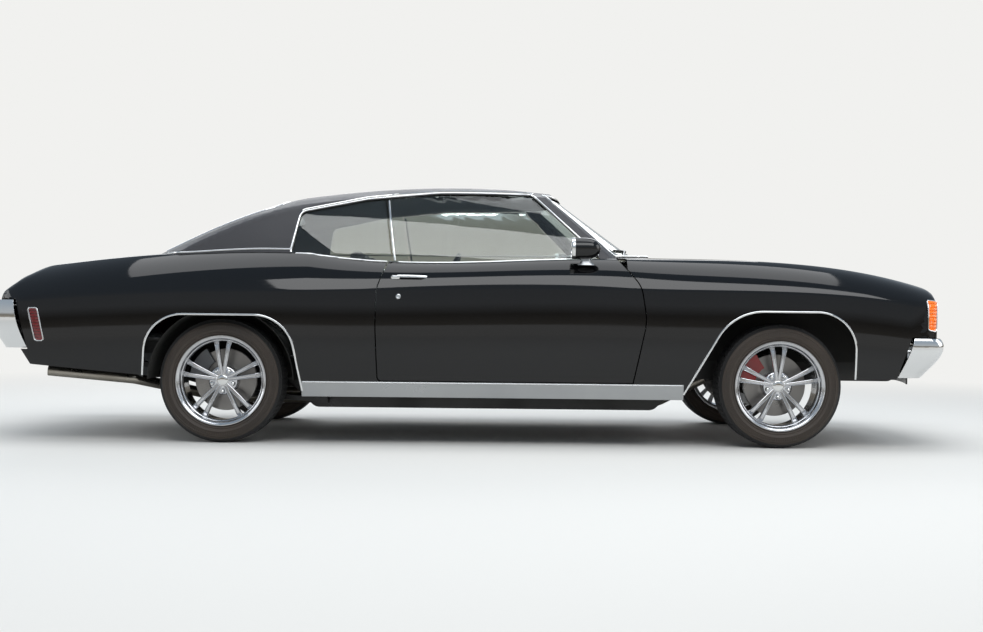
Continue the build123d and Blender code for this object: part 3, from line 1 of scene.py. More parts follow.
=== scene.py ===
"""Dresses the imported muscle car: gloss paint, grained roof, bright trim, wheels, cabin and studio light."""

import json
import logging
import math
from collections.abc import Callable, Iterable, Sequence
from dataclasses import dataclass, field
from enum import Enum

import bmesh
import bpy
import numpy as np
from mathutils import Matrix, Vector
from mathutils.bvhtree import BVHTree


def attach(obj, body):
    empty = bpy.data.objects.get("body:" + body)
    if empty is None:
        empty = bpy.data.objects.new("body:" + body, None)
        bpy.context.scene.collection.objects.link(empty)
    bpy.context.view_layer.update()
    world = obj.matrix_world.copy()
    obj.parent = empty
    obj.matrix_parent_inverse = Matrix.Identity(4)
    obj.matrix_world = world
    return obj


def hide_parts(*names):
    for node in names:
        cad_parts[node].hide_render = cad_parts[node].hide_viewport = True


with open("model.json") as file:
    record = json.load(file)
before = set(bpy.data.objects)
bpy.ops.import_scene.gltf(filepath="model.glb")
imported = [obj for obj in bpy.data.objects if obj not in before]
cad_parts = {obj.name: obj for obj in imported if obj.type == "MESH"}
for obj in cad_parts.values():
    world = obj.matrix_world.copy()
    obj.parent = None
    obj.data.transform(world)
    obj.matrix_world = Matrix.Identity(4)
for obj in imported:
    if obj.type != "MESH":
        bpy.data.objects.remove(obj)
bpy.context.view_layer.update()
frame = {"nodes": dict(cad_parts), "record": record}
LOG = logging.getLogger("muscle_car")

MM = 0.001
FLANKS = ((1, "left"), (-1, "right"))      # sign of y, and the word for that side
JOIN_DOUBLES = 1e-6                        # metres within which two corners are one
CAD_DOUBLES = 2e-5                         # the same for the loose triangles of a CAD node
BEVEL_ABOVE = 40.0                         # degrees: edges that turn by more are rounded
BLOTCH_MM = 250.0                          # size of the patches in which a finish varies
BODY_OF: dict[str, str] = {
    name: body for body, names in frame["record"]["behaviour"]["bodies"].items() for name in names
}
Point = tuple[float, float, float]


# ------------------------ colours and nodes
def linear(code: str) -> tuple[float, float, float, float]:
    """Turns an sRGB hex colour into linear values.

    Args:
        code: six hex digits.

    Returns:
        Linear red, green and blue with an alpha of 1.
    """
    parts = [int(code[i:i + 2], 16) / 255 for i in (0, 2, 4)]
    red, green, blue = (p / 12.92 if p <= 0.04045 else ((p + 0.055) / 1.055) ** 2.4 for p in parts)
    return (red, green, blue, 1.0)


def add_node(tree: bpy.types.NodeTree, kind: str, settings: dict | None = None,
             inputs: dict | None = None) -> bpy.types.Node:
    """Adds a node with its settings and links.

    Args:
        tree: the node tree to add to.
        kind: the node's type name.
        settings: attributes to set on the node.
        inputs: socket name or index to a value, or to the output socket that feeds it.

    Returns:
        The new node.
    """
    made = tree.nodes.new(kind)
    for key, value in (settings or {}).items():
        setattr(made, key, value)
    for key, value in (inputs or {}).items():
        socket = made.inputs[key]
        if isinstance(value, bpy.types.NodeSocket):
            tree.links.new(value, socket)
        else:
            socket.default_value = value
    return made


class Grain(Enum):
    """Surface patterns, from the way the surface was made."""

    NONE = "plain"
    PEEL = "sprayed"
    HIDE = "embossed"
    CAST = "cast"
    BRUSH = "brushed"
    PILE = "woven"
    FLUTE = "fluted"


@dataclass(frozen=True)
class Finish:
    """An opaque or clear finish and the pattern in its surface.

    Colours are sRGB hex codes. uneven is how far the roughness strays to either side, second the colour
    that the first one strays to, grain_mm the spacing of the grain and depth_mm its height.
    """

    name: str
    colour: str
    metallic: float = 0.0
    roughness: float = 0.5
    ior: float = 1.5
    coat: float = 0.0
    sheen: float = 0.0
    clear: float = 0.0
    glow: float = 0.0
    grain: Grain = Grain.NONE
    grain_mm: float = 1.0
    depth_mm: float = 0.0
    uneven: float = 0.0
    second: str = ""

    def build(self) -> bpy.types.Material:
        """Makes the material, or returns it where it is already made.

        Returns:
            The material with its node tree.
        """
        made = bpy.data.materials.get(self.name)
        if made:
            return made
        made = bpy.data.materials.new(self.name)
        made.use_nodes = True
        tree = made.node_tree
        tree.nodes.clear()
        place = add_node(tree, "ShaderNodeTexCoord").outputs["Object"]
        inputs = {"Base Color": linear(self.colour), "Metallic": self.metallic,
                  "Roughness": self.roughness, "Coat Weight": self.coat, "Coat Roughness": 0.02,
                  "Sheen Weight": self.sheen, "Transmission Weight": self.clear}
        if self.second or self.uneven:
            blotch = add_node(tree, "ShaderNodeTexNoise", inputs={
                "Vector": place, "Scale": 1 / (BLOTCH_MM * MM), "Detail": 3.0}).outputs["Fac"]
        if self.second:
            inputs["Base Color"] = add_node(tree, "ShaderNodeMix", {"data_type": "RGBA"}, {
                0: blotch, 6: linear(self.colour), 7: linear(self.second)}).outputs[2]
        if self.uneven:
            inputs["Roughness"] = add_node(tree, "ShaderNodeMapRange", inputs={
                "Value": blotch, "From Min": 0.3, "From Max": 0.7,
                "To Min": max(0.0, self.roughness - self.uneven),
                "To Max": min(1.0, self.roughness + self.uneven)}).outputs["Result"]
        if self.metallic < 1.0:
            inputs["IOR"] = self.ior
        if self.glow:
            inputs["Emission Color"] = linear(self.colour)
            inputs["Emission Strength"] = self.glow
        if self.grain is not Grain.NONE:
            inputs["Normal"] = self.relief(tree, place)
        shader = add_node(tree, "ShaderNodeBsdfPrincipled", inputs=inputs)
        add_node(tree, "ShaderNodeOutputMaterial", inputs={"Surface": shader.outputs[0]})
        return made

    def relief(self, tree: bpy.types.NodeTree, place: bpy.types.NodeSocket) -> bpy.types.NodeSocket:
        """Adds the bump of the surface's grain.

        Args:
            tree: the material's tree.
            place: object coordinates.

        Returns:
            The normal output of the bump.
        """
        per_metre = 1.0 / (self.grain_mm * MM)
        if self.grain is Grain.HIDE:
            height = add_node(tree, "ShaderNodeTexVoronoi", {"feature": "SMOOTH_F1"}, {
                "Vector": place, "Scale": per_metre, "Smoothness": 0.35}).outputs["Distance"]
        elif self.grain is Grain.FLUTE:
            height = add_node(tree, "ShaderNodeTexWave", {"bands_direction": "Y"}, {
                "Vector": place, "Scale": per_metre / 2, "Distortion": 0.0}).outputs["Fac"]
        else:
            if self.grain is Grain.BRUSH:
                place = add_node(tree, "ShaderNodeMapping", inputs={
                    "Vector": place, "Scale": (0.02, 1.0, 1.0)}).outputs["Vector"]
            fine = {"Detail": 4.0, "Roughness": 0.8} if self.grain is Grain.PILE else {"Detail": 2.0}
            height = add_node(tree, "ShaderNodeTexNoise", inputs={
                "Vector": place, "Scale": per_metre, **fine}).outputs["Fac"]
        return add_node(tree, "ShaderNodeBump", inputs={
            "Height": height, "Strength": 1.0, "Distance": self.depth_mm * MM}).outputs["Normal"]


# Acrylic lacquer over steel: deep black, mirror-like, with a faint sprayed ripple
PAINT = Finish("black_acrylic_lacquer", "050506", roughness=0.05, ior=1.46, grain=Grain.PEEL,
               grain_mm=9.0, depth_mm=0.004, uneven=0.02, second="08080a")
# Embossed roof vinyl: charcoal with a leather grain that scatters the light
ROOF_VINYL = Finish("embossed_roof_vinyl", "2b2b2e", roughness=0.5, grain=Grain.HIDE, grain_mm=4.0,
                    depth_mm=0.35, uneven=0.08, second="333337")
# Electroplated steel: a near mirror with a slight warm haze
CHROME = Finish("polished_chrome_plate", "dcdcda", metallic=1.0, roughness=0.05, uneven=0.02,
                second="d2d4d6")
# Anodised sill trim: soft silver drawn lengthways
SATIN = Finish("satin_anodised_trim", "a9abac", metallic=1.0, roughness=0.32, grain=Grain.BRUSH,
               grain_mm=1.2, depth_mm=0.02, uneven=0.06, second="9c9ea0")
# Laminated window glass: clear with a faint green-grey tint
GLASS = Finish("tinted_safety_glass", "eaf1ee", roughness=0.0, ior=1.45, clear=1.0)
# Pressed headlamp glass: clear, with upright flutes that spread the beam
LAMP_GLASS = Finish("fluted_lamp_glass", "f1f4f5", roughness=0.02, ior=1.48, clear=1.0,
                    grain=Grain.FLUTE, grain_mm=9.0, depth_mm=0.6)
# Moulded acrylic lenses: deep colour with light inside
AMBER = Finish("moulded_amber_acrylic", "f58212", roughness=0.12, ior=1.49, clear=0.2, coat=0.6,
               glow=0.22, uneven=0.03, second="ef6a08")
RED = Finish("moulded_red_acrylic", "7a0610", roughness=0.12, ior=1.49, clear=0.25, coat=0.6,
             uneven=0.03, second="72040c")
# Moulded plastic, stove enamel and sprayed bitumen: black, from satin to dead matt
GRILLE_BLACK = Finish("satin_black_moulding", "131314", roughness=0.42, grain=Grain.CAST, grain_mm=1.5,
                      depth_mm=0.03, uneven=0.08, second="19191b")
CHASSIS = Finish("chassis_black_enamel", "121213", roughness=0.38, grain=Grain.PEEL, grain_mm=3.0,
                 depth_mm=0.06, uneven=0.12, second="201f1e")
UNDERSEAL = Finish("sprayed_underseal", "171716", roughness=0.85, grain=Grain.CAST, grain_mm=4.0,
                   depth_mm=0.6, uneven=0.08, second="23221f")
# Cabin: hide-grained vinyl, loop pile and perforated cloth, all soft and dull
TRIM_PLASTIC = Finish("grained_cabin_vinyl", "1b1b1c", roughness=0.55, grain=Grain.HIDE, grain_mm=2.5,
                      depth_mm=0.12, uneven=0.08, second="222223")
SEAT_VINYL = Finish("sewn_seat_vinyl", "232222", roughness=0.46, grain=Grain.HIDE, grain_mm=3.0,
                    depth_mm=0.15, uneven=0.07, second="2b2a29")
CARPET = Finish("loop_pile_carpet", "161616", roughness=0.95, sheen=0.4, grain=Grain.PILE, grain_mm=3.0,
                depth_mm=1.5, uneven=0.03, second="24231f")
HEADLINER = Finish("perforated_headliner", "3a3936", roughness=0.8, grain=Grain.CAST, grain_mm=3.0,
                   depth_mm=0.1, uneven=0.05, second="403f3c")
# Iron and steel under the car: painted, bare cast, hot-dip aluminised and galvanised
ENGINE_PAINT = Finish("engine_enamel_on_iron", "7a3418", roughness=0.45, grain=Grain.CAST, grain_mm=4.0,
                      depth_mm=0.35, uneven=0.1, second="65290f")
IRON = Finish("bare_cast_iron", "6b6762", metallic=1.0, roughness=0.5, grain=Grain.CAST, grain_mm=3.0,
              depth_mm=0.15, uneven=0.1, second="57504a")
EXHAUST = Finish("aluminised_exhaust_steel", "a7a39b", metallic=1.0, roughness=0.3, grain=Grain.CAST,
                 grain_mm=20.0, depth_mm=0.1, uneven=0.12, second="8a8378")
# Galvanised tank steel, its grey darkened below bare zinc as painted shade for the tank's place under the car
SHADED_TANK = Finish("shade_darkened_tank_steel", "5b5d5e", metallic=1.0, roughness=0.55, grain=Grain.CAST,
              grain_mm=25.0, depth_mm=0.1, uneven=0.12, second="4c4e50")
# Tyre rubber: carbon black, browner with road dust on the wall than on the tread
RUBBER = Finish("carbon_black_tyre_rubber", "1a1a1b", roughness=0.78, grain=Grain.CAST, grain_mm=2.0,
                depth_mm=0.08, uneven=0.08, second="242424")
TYRE_WALL = Finish("dusty_tyre_sidewall", "2b2623", roughness=0.66, grain=Grain.CAST, grain_mm=2.0,
                   depth_mm=0.06, uneven=0.06, second="463c33")
# Wheels and brakes: machined aluminium under clear lacquer, ground iron, and caliper enamel
ALLOY = Finish("lacquered_cast_aluminium", "c9cacc", metallic=1.0, roughness=0.2, coat=0.4, uneven=0.06,
               second="bcbdc0")
ROTOR = Finish("ground_brake_rotor", "8e8c8a", metallic=1.0, roughness=0.3, uneven=0.1, second="7b7875")
CALIPER_RED = Finish("red_caliper_enamel", "a50f14", roughness=0.3, coat=0.5, grain=Grain.CAST,
                     grain_mm=4.0, depth_mm=0.1, uneven=0.06, second="8f0b10")
CALIPER_GREY = Finish("grey_caliper_enamel", "6d6e70", roughness=0.4, grain=Grain.CAST, grain_mm=4.0,
                      depth_mm=0.1, uneven=0.06, second="5c5d5f")
# Silvered glass and printed card
MIRROR_FACE = Finish("silvered_mirror_glass", "e8eaeb", metallic=1.0, roughness=0.01)
DIAL = Finish("printed_dial_card", "e3e0d4", roughness=0.6, uneven=0.03, second="d8d4c6")


# ------------------------ mesh helpers
def new_piece(name: str, bm: bmesh.types.BMesh) -> bpy.types.Object:
    """Puts a finished bmesh into a new object at the origin.

    Args:
        name: the piece's name.
        bm: its mesh, which is freed.

    Returns:
        The linked object.
    """
    mesh = bpy.data.meshes.new(name)
    bm.to_mesh(mesh)
    bm.free()
    made = bpy.data.objects.new(name, mesh)
    bpy.context.scene.collection.objects.link(made)
    return made


def smooth(obj: bpy.types.Object, degrees: float = 30.0) -> bpy.types.Object:
    """Shades a piece smooth, but for its sharp edges.

    Args:
        obj: the piece.
        degrees: edges that turn by more than this stay sharp.

    Returns:
        The same piece.
    """
    mesh = obj.data
    mesh.shade_smooth()
    mesh.set_sharp_from_angle(angle=math.radians(degrees))
    return obj


def dress(obj: bpy.types.Object, *finishes: Finish) -> bpy.types.Object:
    """Gives a piece its materials.

    Args:
        obj: the piece.
        finishes: one for each slot, in order.

    Returns:
        The same piece.
    """
    obj.data.materials.clear()
    for finish in finishes:
        obj.data.materials.append(finish.build())
    return obj


def settle(obj: bpy.types.Object, body: str, *nodes: str) -> bpy.types.Object:
    """Makes a piece ride on a body and stand for its CAD nodes, and reports it.

    Args:
        obj: the finished piece.
        body: the body it moves with.
        nodes: the CAD nodes it stands for, if any.

    Returns:
        The same piece.
    """
    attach(obj, body)
    if nodes:
        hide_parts(*nodes)
    LOG.info("%s on %s, %d faces", obj.name, body, len(obj.data.polygons))
    return obj


def cad_bmesh(node: str) -> bmesh.types.BMesh:
    """Reads a CAD node's mesh with its loose triangles joined.

    Args:
        node: the node's name.

    Returns:
        A copy of its mesh.
    """
    bm = bmesh.new()
    bm.from_mesh(frame["nodes"][node].data)
    bmesh.ops.remove_doubles(bm, verts=bm.verts, dist=CAD_DOUBLES)
    bmesh.ops.dissolve_degenerate(bm, dist=JOIN_DOUBLES, edges=bm.edges)
    return bm


def shorten_edges(bm: bmesh.types.BMesh, longest: float, rounds: int = 7) -> None:
    """Splits edges until none is longer than a length.

    Args:
        bm: the mesh to refine in place.
        longest: the length in metres.
        rounds: most passes over the mesh.
    """
    for _ in range(rounds):
        long_edges = [e for e in bm.edges if e.calc_length() > longest]
        if not long_edges:
            break
        bmesh.ops.subdivide_edges(bm, edges=long_edges, cuts=1)
        bmesh.ops.triangulate(bm, faces=[f for f in bm.faces if len(f.verts) > 3])


def apply_modifiers(obj: bpy.types.Object) -> bpy.types.Object:
    """Turns a piece's modifiers into plain mesh.

    Args:
        obj: the piece.

    Returns:
        The same piece, without modifiers.
    """
    graph = bpy.context.evaluated_depsgraph_get()
    graph.update()
    mesh = bpy.data.meshes.new_from_object(obj.evaluated_get(graph), depsgraph=graph)
    obj.modifiers.clear()
    obj.data = mesh
    return obj


def bevelled(obj: bpy.types.Object, width_mm: float, steps: int = 2) -> bpy.types.Object:
    """Rounds a piece's sharp edges.

    Args:
        obj: the piece.
        width_mm: width of the rounding.
        steps: segments across it.

    Returns:
        The same piece, with the rounding in its mesh.
    """
    bevel = obj.modifiers.new("edge_round", "BEVEL")
    bevel.width = width_mm * MM
    bevel.segments = steps
    bevel.limit_method = "ANGLE"
    bevel.angle_limit = math.radians(BEVEL_ABOVE)
    bevel.harden_normals = True
    return apply_modifiers(obj)


def lathe(bm: bmesh.types.BMesh, rows: Sequence[tuple[float, float]], steps: int) -> None:
    """Turns a profile all the way about the y axis.

    Args:
        bm: the mesh to add to.
        rows: radius and y of each corner, in mm.
        steps: segments of the turn.
    """
    rings = []
    for i in range(steps):
        angle = math.tau * i / steps
        rings.append([bm.verts.new((r * MM * math.cos(angle), y * MM, r * MM * math.sin(angle)))
                      for r, y in rows])
    for i in range(steps):
        one, two = rings[i], rings[(i + 1) % len(rings)]
        for j in range(len(rows) - 1):
            on_axis = rows[j][0] == rows[j + 1][0] == 0
            if not on_axis:
                bm.faces.new((one[j], one[j + 1], two[j + 1], two[j]))
    bmesh.ops.remove_doubles(bm, verts=[v for ring in rings for v in ring], dist=JOIN_DOUBLES)


def outwards(bm: bmesh.types.BMesh) -> bmesh.types.BMesh:
    """Joins doubles and points every face outwards.

    Args:
        bm: the mesh, changed in place.

    Returns:
        The same mesh.
    """
    bmesh.ops.remove_doubles(bm, verts=bm.verts, dist=JOIN_DOUBLES)
    bmesh.ops.recalc_face_normals(bm, faces=bm.faces)
    return bm


def sweep(bm: bmesh.types.BMesh, path: Sequence[Vector], section: Sequence[tuple[float, float]],
          normals: Sequence[Vector] | None = None, closed: bool = False,
          taper: Callable[[float], float] | None = None) -> None:
    """Carries a closed section along a path.

    Args:
        bm: the mesh to add to.
        path: points in metres.
        section: corners of the section in mm, across the path and along its normal.
        normals: the direction of the section's second axis at each point; upright where left out.
        closed: whether the path closes on itself.
        taper: scale of the section at a share of the path's length.
    """
    count = len(path)
    rings = []
    for i, point in enumerate(path):
        before = path[i - 1] if closed or i else path[0]
        after = path[(i + 1) % count] if closed or i < count - 1 else path[-1]
        along = (after - before).normalized()
        up = normals[i] if normals else Vector((0, 0, 1))
        across = along.cross(up).normalized()
        up = across.cross(along).normalized()
        size = (taper(i / max(count - 1, 1)) if taper else 1.0) * MM
        rings.append([bm.verts.new(point + across * (u * size) + up * (v * size)) for u, v in section])
    corners = len(section)
    for i in range(count if closed else count - 1):
        one, two = rings[i], rings[(i + 1) % count]
        for j in range(corners):
            k = (j + 1) % corners
            bm.faces.new((one[j], one[k], two[k], two[j]))
    if not closed:
        bm.faces.new(rings[0][::-1])
        bm.faces.new(rings[-1])


def resampled(points: Sequence[Vector], step: float, closed: bool = False) -> list[Vector]:
    """Spreads points evenly along a Catmull-Rom curve through the given ones.

    Args:
        points: the curve's own points, in metres.
        step: distance between the new points.
        closed: whether the curve closes on itself.

    Returns:
        The evenly spread points.
    """
    known = list(points)
    count = len(known)
    fine: list[Vector] = []
    spans = count if closed else count - 1
    for i in range(spans):
        p1, p2 = known[i], known[(i + 1) % count]
        p0 = known[i - 1] if closed or i else p1 * 2 - p2
        p3 = known[(i + 2) % count] if closed or i + 2 < count else p2 * 2 - p1
        for j in range(12):
            t = j / 12
            fine.append(0.5 * ((2 * p1) + (p2 - p0) * t + (2 * p0 - 5 * p1 + 4 * p2 - p3) * t * t
                               + (3 * p1 - p0 - 3 * p2 + p3) * t ** 3))
    fine.append(known[0] if closed else known[-1])
    lengths = np.cumsum([0.0] + [(b - a).length for a, b in zip(fine, fine[1:])])
    total = lengths[-1]
    pieces = max(3, round(total / step))
    wanted = np.linspace(0, total, pieces + 1)
    if closed:
        wanted = wanted[:-1]
    table = np.array([tuple(p) for p in fine])
    return [Vector([float(np.interp(w, lengths, table[:, k])) for k in range(3)]) for w in wanted]


def rounded_box(half: tuple[float, float], bend: float, steps: int = 3) -> list[tuple[float, float]]:
    """Outline of a rectangle with rounded corners, in mm.

    Args:
        half: half width and half height.
        bend: corner radius.
        steps: segments of each corner.

    Returns:
        The corners, in order.
    """
    made = []
    for turn, (sx, sy) in enumerate(((1, 1), (-1, 1), (-1, -1), (1, -1))):
        for i in range(steps + 1):
            angle = math.pi / 2 * (turn + i / steps)
            made.append((sx * (half[0] - bend) + bend * math.cos(angle),
                         sy * (half[1] - bend) + bend * math.sin(angle)))
    return made


def ball(bm: bmesh.types.BMesh, centre: Point, radii: Point) -> None:
    """Adds an ellipsoid with its centre and half sizes in mm."""
    place = Matrix.Translation(Vector(centre) * MM) @ Matrix.Diagonal((*[r * MM for r in radii], 1.0))
    bmesh.ops.create_uvsphere(bm, u_segments=24, v_segments=12, radius=1.0, matrix=place)


def block(bm: bmesh.types.BMesh, low: Point, high: Point) -> None:
    """Adds a block.

    Args:
        bm: the mesh to add to.
        low: its lowest corner in mm.
        high: its highest corner in mm.
    """
    centre = [(a + b) / 2 * MM for a, b in zip(low, high)]
    size = [(b - a) * MM for a, b in zip(low, high)]
    bmesh.ops.create_cube(bm, size=1.0, matrix=Matrix.Translation(centre) @ Matrix.Diagonal((*size, 1.0)))


# ------------------------ repeated pieces
def ring_tree(finish: Finish) -> bpy.types.GeometryNodeTree:
    """Builds the tree that repeats a piece in a ring about the y axis.

    Args:
        finish: the finish of every copy.

    Returns:
        The tree, with inputs Count, and Step for the turn from one copy to the next.
    """
    name = f"ring_of_{finish.name}"
    tree = bpy.data.node_groups.get(name)
    if tree:
        return tree
    tree = bpy.data.node_groups.new(name, "GeometryNodeTree")
    for socket, kind in (("Geometry", "Geometry"), ("Count", "Int"), ("Step", "Vector")):
        tree.interface.new_socket(socket, in_out="INPUT", socket_type=f"NodeSocket{kind}")
    tree.interface.new_socket("Geometry", in_out="OUTPUT", socket_type="NodeSocketGeometry")
    given = add_node(tree, "NodeGroupInput").outputs
    points = add_node(tree, "GeometryNodePoints", inputs={"Count": given["Count"]}).outputs[0]
    number = add_node(tree, "GeometryNodeInputIndex").outputs[0]
    turned = add_node(tree, "ShaderNodeVectorMath", {"operation": "SCALE"}, {
        0: given["Step"], "Scale": number}).outputs[0]
    copies = add_node(tree, "GeometryNodeInstanceOnPoints", inputs={
        "Points": points, "Instance": given["Geometry"], "Rotation": turned}).outputs[0]
    real = add_node(tree, "GeometryNodeRealizeInstances", inputs={"Geometry": copies}).outputs[0]
    dressed = add_node(tree, "GeometryNodeSetMaterial", inputs={
        "Geometry": real, "Material": finish.build()}).outputs[0]
    add_node(tree, "NodeGroupOutput", inputs={"Geometry": dressed})
    return tree


def ringed(obj: bpy.types.Object, finish: Finish, count: int) -> bpy.types.Object:
    """Repeats a piece evenly about the y axis and makes the copies plain mesh.

    Args:
        obj: the piece, which keeps its name.
        finish: the copies' finish.
        count: number of copies.

    Returns:
        The same object with all copies in its mesh.
    """
    tree = ring_tree(finish)
    modifier = obj.modifiers.new("copies", "NODES")
    modifier.node_group = tree
    sockets = {s.name: s.identifier for s in tree.interface.items_tree if s.in_out == "INPUT"}
    modifier[sockets["Count"]] = count
    modifier[sockets["Step"]] = (0, math.tau / count, 0)
    return dress(apply_modifiers(obj), finish)


def shift(obj: bpy.types.Object, matrix: Matrix) -> bpy.types.Object:
    """Moves a piece's mesh, and turns its faces back out where the matrix mirrors it.

    Args:
        obj: the piece, which stays at the origin.
        matrix: the move.

    Returns:
        The same piece.
    """
    obj.data.transform(matrix)
    if matrix.determinant() < 0:
        obj.data.flip_normals()
    return obj


def joined(name: str, pieces: Iterable[bpy.types.Object]) -> bpy.types.Object:
    """Joins pieces into the first one, with their materials kept.

    Args:
        name: name of the joined piece.
        pieces: the pieces, all of them at the origin.

    Returns:
        The joined object.
    """
    group = list(pieces)
    with bpy.context.temp_override(active_object=group[0], selected_editable_objects=group,
                                   selected_objects=group, object=group[0]):
        bpy.ops.object.join()
    group[0].name = name
    group[0].data.name = name
    return group[0]


# ------------------------ the outer body's form
@dataclass
class BodyForm:
    """The smooth outer surface that all painted panels are cut from, in mm.

    A row of rows is one cross section: x, height of the crown, y and z of the corner between crown and
    shoulder, y and z of the crease between shoulder and side, and y of the side at floor_z. A row of
    side_view or plan_view is a corner of a convex outline and the radius that rounds it.
    """

    rows: tuple = (
        (2450, 805, 715, 785, 895, 705, 870), (1900, 938, 784, 916, 946, 780, 908),
        (1350, 982, 798, 956, 953, 798, 913), (800, 990, 822, 957, 946, 800, 904),
        (250, 978, 838, 944, 941, 797, 898), (-300, 964, 836, 929, 942, 788, 901),
        (-850, 1003, 805, 978, 953, 778, 911), (-1400, 1003, 786, 974, 957, 772, 914),
        (-1950, 958, 752, 930, 938, 748, 896), (-2500, 880, 700, 850, 892, 704, 850))
    side_view: tuple = (
        (1900, 1100, 0), (2330, 842, 60), (2385, 752, 50), (2366, 360, 0), (1840, 200, 0),
        (-1500, 200, 0), (-2250, 360, 0), (-2442, 690, 0), (-2448, 722, 20), (-2330, 836, 150),
        (-2000, 1040, 0))
    plan_view: tuple = (
        (2374, -350, 500), (2374, 350, 500), (2350, 900, 40), (2200, 962, 0), (1900, 1100, 0),
        (-2100, 1100, 0), (-2280, 962, 0), (-2430, 850, 100), (-2464, 300, 500), (-2464, -300, 500),
        (-2430, -850, 100), (-2280, -962, 0), (-2100, -1100, 0), (1900, -1100, 0), (2200, -962, 0),
        (2350, -900, 40))
    floor_z: float = 200.0
    shoulder_bulge: float = 20.0
    side_bulge: float = 26.0
    shoulder_bend: float = 46.0
    crease_bend: float = 70.0
    edge_bend: float = 26.0
    span_mm: float = 1650.0
    slope_reach: tuple[float, float, float] = (30.0, 1.0, 1.0)

    def columns(self, x: np.ndarray) -> np.ndarray:
        """Section sizes at each x, cubic within a span of four sections.

        Args:
            x: places along the car.

        Returns:
            One row of six sizes for each place.
        """
        table = np.array(self.rows, float)
        made = np.zeros((len(x), 6))
        span = np.clip(((self.rows[0][0] - x) // self.span_mm).astype(int), 0, 2)
        for first in range(3):
            mask = span == first
            four = table[first * 3:first * 3 + 4]
            for i in range(4):
                weight = np.ones(mask.sum())
                for j in range(4):
                    if i != j:
                        weight *= (x[mask] - four[j, 0]) / (four[i, 0] - four[j, 0])
                made[mask] += weight[:, None] * four[i, 1:]
        return made

    @staticmethod
    def arc(low: np.ndarray, high: np.ndarray, bulge: float) -> tuple[np.ndarray, np.ndarray]:
        """Circles of arcs that bow away from the car's middle.

        Args:
            low: y and z of the lower ends.
            high: y and z of the upper ends.
            bulge: the arcs' height over their chords.

        Returns:
            The centres' y and z, and the radii.
        """
        chord = high - low
        length = np.hypot(*chord)
        radius = (length ** 2 / 4 + bulge ** 2) / (2 * bulge)
        out = np.array([chord[1], -chord[0]]) / length
        return (low + high) / 2 - out * (radius - bulge), radius

    @staticmethod
    def crossing(a: np.ndarray, a_radius: np.ndarray, b: np.ndarray, b_radius: np.ndarray,
                 near: np.ndarray) -> np.ndarray:
        """Where circles cross, at the crossing nearer a corner.

        Args:
            a: y and z of the first centres.
            a_radius: their radii.
            b: y and z of the second centres.
            b_radius: their radii.
            near: y and z of the corners.

        Returns:
            The crossings' y and z.
        """
        gap = np.hypot(*(b - a))
        along = (a_radius ** 2 - b_radius ** 2 + gap ** 2) / (2 * gap)
        rise = np.sqrt(np.maximum(a_radius ** 2 - along ** 2, 0))
        middle = a + (b - a) / gap * along
        aside = np.array([a[1] - b[1], b[0] - a[0]]) / gap * rise
        first, second = middle + aside, middle - aside
        return np.where(np.hypot(*(first - near)) < np.hypot(*(second - near)), first, second)

    @staticmethod
    def angle(way: np.ndarray) -> np.ndarray:
        """Angles of directions given as y and z."""
        return np.arctan2(way[1], way[0])

    def section(self, p: np.ndarray) -> np.ndarray:
        """Distance outside the body's cross section at each point, negative inside.

        Args:
            p: points as rows of x, y, z.

        Returns:
            The distances.
        """
        crown, *sizes = self.columns(p[:, 0]).T
        here = np.array([np.abs(p[:, 1]), p[:, 2]])
        top, crease = np.array(sizes[0:2]), np.array(sizes[2:4])
        low = np.array([sizes[4], np.full_like(crown, self.floor_z)])
        rise = crown - top[1]
        crown_r = (top[0] ** 2 + rise ** 2) / (2 * rise)
        under = np.array([np.zeros_like(crown), crown - crown_r])
        shoulder, shoulder_r = self.arc(crease, top, self.shoulder_bulge)
        side, side_r = self.arc(low, crease, self.side_bulge)
        r1, r2 = self.shoulder_bend, self.crease_bend
        bend1 = self.crossing(under, crown_r - r1, shoulder, shoulder_r - r1, top)
        bend2 = self.crossing(shoulder, shoulder_r - r2, side, side_r - r2, crease)
        turn1, turn2 = self.angle(here - bend1), self.angle(here - bend2)
        upper = here[1] > (crease[1] + top[1]) / 2
        made = np.hypot(*(here - side)) - side_r
        made = np.where(turn2 > self.angle(bend2 - side), np.hypot(*(here - bend2)) - r2, made)
        made = np.where(turn2 > self.angle(bend2 - shoulder), np.hypot(*(here - shoulder)) - shoulder_r, made)
        made = np.where((turn1 > self.angle(bend1 - shoulder)) & upper, np.hypot(*(here - bend1)) - r1, made)
        above = (turn1 > self.angle(bend1 - under)) & upper
        return np.where(above, np.hypot(*(here - under)) - crown_r, made)

